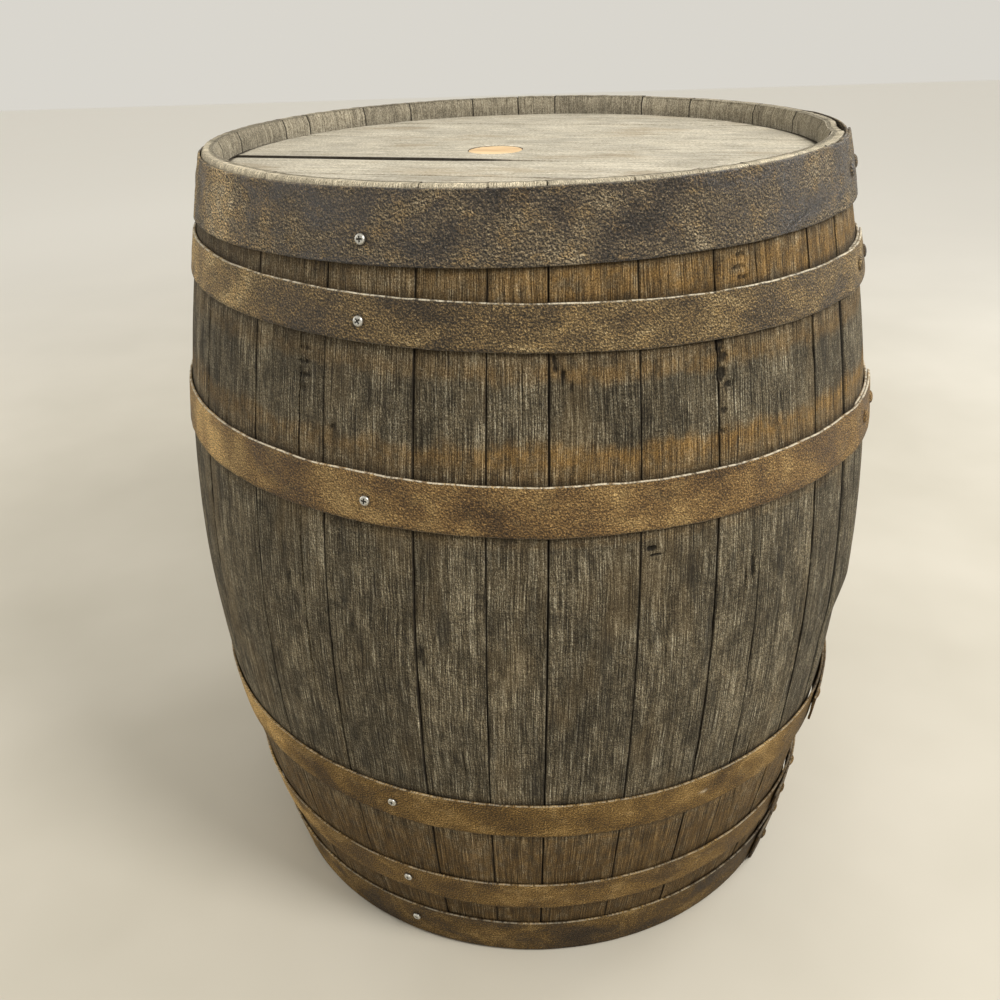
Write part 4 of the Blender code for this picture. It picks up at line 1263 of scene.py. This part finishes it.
def screw_mesh_parts():
    """A pan-head screw with a cross recess. Its head's underside is at z = 0."""
    outline = [(0.0, SCREW_HEAD_HEIGHT)]
    crown = SCREW_HEAD_RADIUS * 0.62
    outline += [(crown * i / 12, SCREW_HEAD_HEIGHT * (1 - 0.05 * (i / 12) ** 2)) for i in range(1, 13)]
    for i in range(1, 7):
        angle = math.radians(90 - i * 13)
        outline.append((
            crown + (SCREW_HEAD_RADIUS - crown) * math.cos(angle),
            SCREW_HEAD_HEIGHT * (0.20 + 0.75 * math.sin(angle)),
        ))
    outline += [(SCREW_HEAD_RADIUS * 0.985, SCREW_HEAD_HEIGHT * 0.12), (SCREW_HEAD_RADIUS * 0.95, 0.0)]
    outline += [(SCREW_SHANK_RADIUS, 0.0), (SCREW_SHANK_RADIUS, SCREW_TIP - SCREW_SHANK_LENGTH)]
    points, faces = turned([*outline, (0.0, -SCREW_SHANK_LENGTH)], 48)
    x, y, z = points.T
    arms = np.zeros(len(points))
    for a, b in ((x, y), (y, x)):
        arm = (1 - smooth(np.abs(a), CROSS_LENGTH / 2 - 0.0002, CROSS_LENGTH / 2 + 0.0002))
        arm = arm * (1 - smooth(np.abs(b), CROSS_WIDTH / 2 - 0.00015, CROSS_WIDTH / 2 + 0.00025))
        arms = np.maximum(arms, arm)
    arms = arms * (z > SCREW_HEAD_HEIGHT * 0.8)
    points[:, 2] -= arms * CROSS_DEPTH
    return points, faces, {"hollow": arms * CROSS_DEPTH}


def build_hoops():
    points, faces, fields = screw_mesh_parts()
    for number, (name, hoop) in enumerate(HOOPS.items(), 1):
        build_hoop(name, hoop, number * 10)
        piece = make_object(f"{name}_screw_look", points, faces, fields, zinc)
        spin = Matrix.Rotation(math.radians(90 * random_at(number, 33)), 4, "Z")
        azimuth, rise = hoop["screw"]
        piece.matrix_world = on_hoop(hoop, azimuth, HOOP_THICKNESS + SCREW_LIFT, rise) @ spin
        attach(piece, "cask")
        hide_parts(f"{name}_screw")


# ---------------------------------------------------------------- studio

CAMERA_PLACE = (0.0, -1.0821, 0.9528)
CAMERA_PITCH_DEG = 27.176
CAMERA_YAW_DEG = -1.750
CAMERA_ROLL_DEG = -1.954
CAMERA_LENS = 36.43


def build_camera():
    pitch, yaw, roll = (math.radians(v) for v in (CAMERA_PITCH_DEG, CAMERA_YAW_DEG, CAMERA_ROLL_DEG))
    ahead = Vector((math.sin(yaw) * math.cos(pitch), math.cos(yaw) * math.cos(pitch), -math.sin(pitch)))
    level = Vector((math.cos(yaw), -math.sin(yaw), 0.0))
    upward = level.cross(ahead)
    right = math.cos(roll) * level + math.sin(roll) * upward
    up = -math.sin(roll) * level + math.cos(roll) * upward
    data = bpy.data.cameras.new("camera")
    data.lens = CAMERA_LENS
    data.sensor_width = 36.0
    data.clip_start, data.clip_end = 0.01, 100.0
    camera = bpy.data.objects.new("camera", data)
    turn = Matrix((right, up, -ahead)).transposed().to_4x4()
    camera.matrix_world = Matrix.Translation(CAMERA_PLACE) @ turn
    bpy.context.scene.collection.objects.link(camera)
    bpy.context.scene.camera = camera


def build_light(name, place, size, power, colour):
    """A large soft lamp aimed at the cask's middle."""
    data = bpy.data.lights.new(name, "AREA")
    data.shape = "DISK"
    data.size = size
    data.energy = power
    data.color = colour
    lamp = bpy.data.objects.new(name, data)
    lamp.location = place
    lamp.rotation_euler = (Vector((0, 0, 0.45)) - Vector(place)).to_track_quat("-Z", "Y").to_euler()
    bpy.context.scene.collection.objects.link(lamp)


def build_studio():
    size, steps = 9.0, 24
    line = np.linspace(-size, size, steps)
    X, Y = np.meshgrid(line, line)
    points = np.stack((X, Y, X * 0), axis=-1).reshape(-1, 3)
    floor = make_object("floor", points, grid_faces(steps, steps), {}, floor_look())
    world = bpy.data.worlds.new("studio")
    world.use_nodes = True
    world.node_tree.nodes["Background"].inputs[0].default_value = (0.87, 0.84, 0.77, 1.0)
    world.node_tree.nodes["Background"].inputs[1].default_value = 0.80
    bpy.context.scene.world = world
    build_light("key", (1.7, -1.5, 2.5), 1.0, 70, (1.0, 0.98, 0.95))
    build_light("left", (-2.5, 0.4, 1.3), 1.6, 16, (1.0, 0.98, 0.95))
    build_light("right", (2.3, 1.3, 1.8), 1.2, 26, (0.96, 0.98, 1.0))
    bpy.context.scene.view_settings.view_transform = "Standard"


build_camera()
build_staves()
build_heads()
build_bungs()
build_hoops()
build_studio()
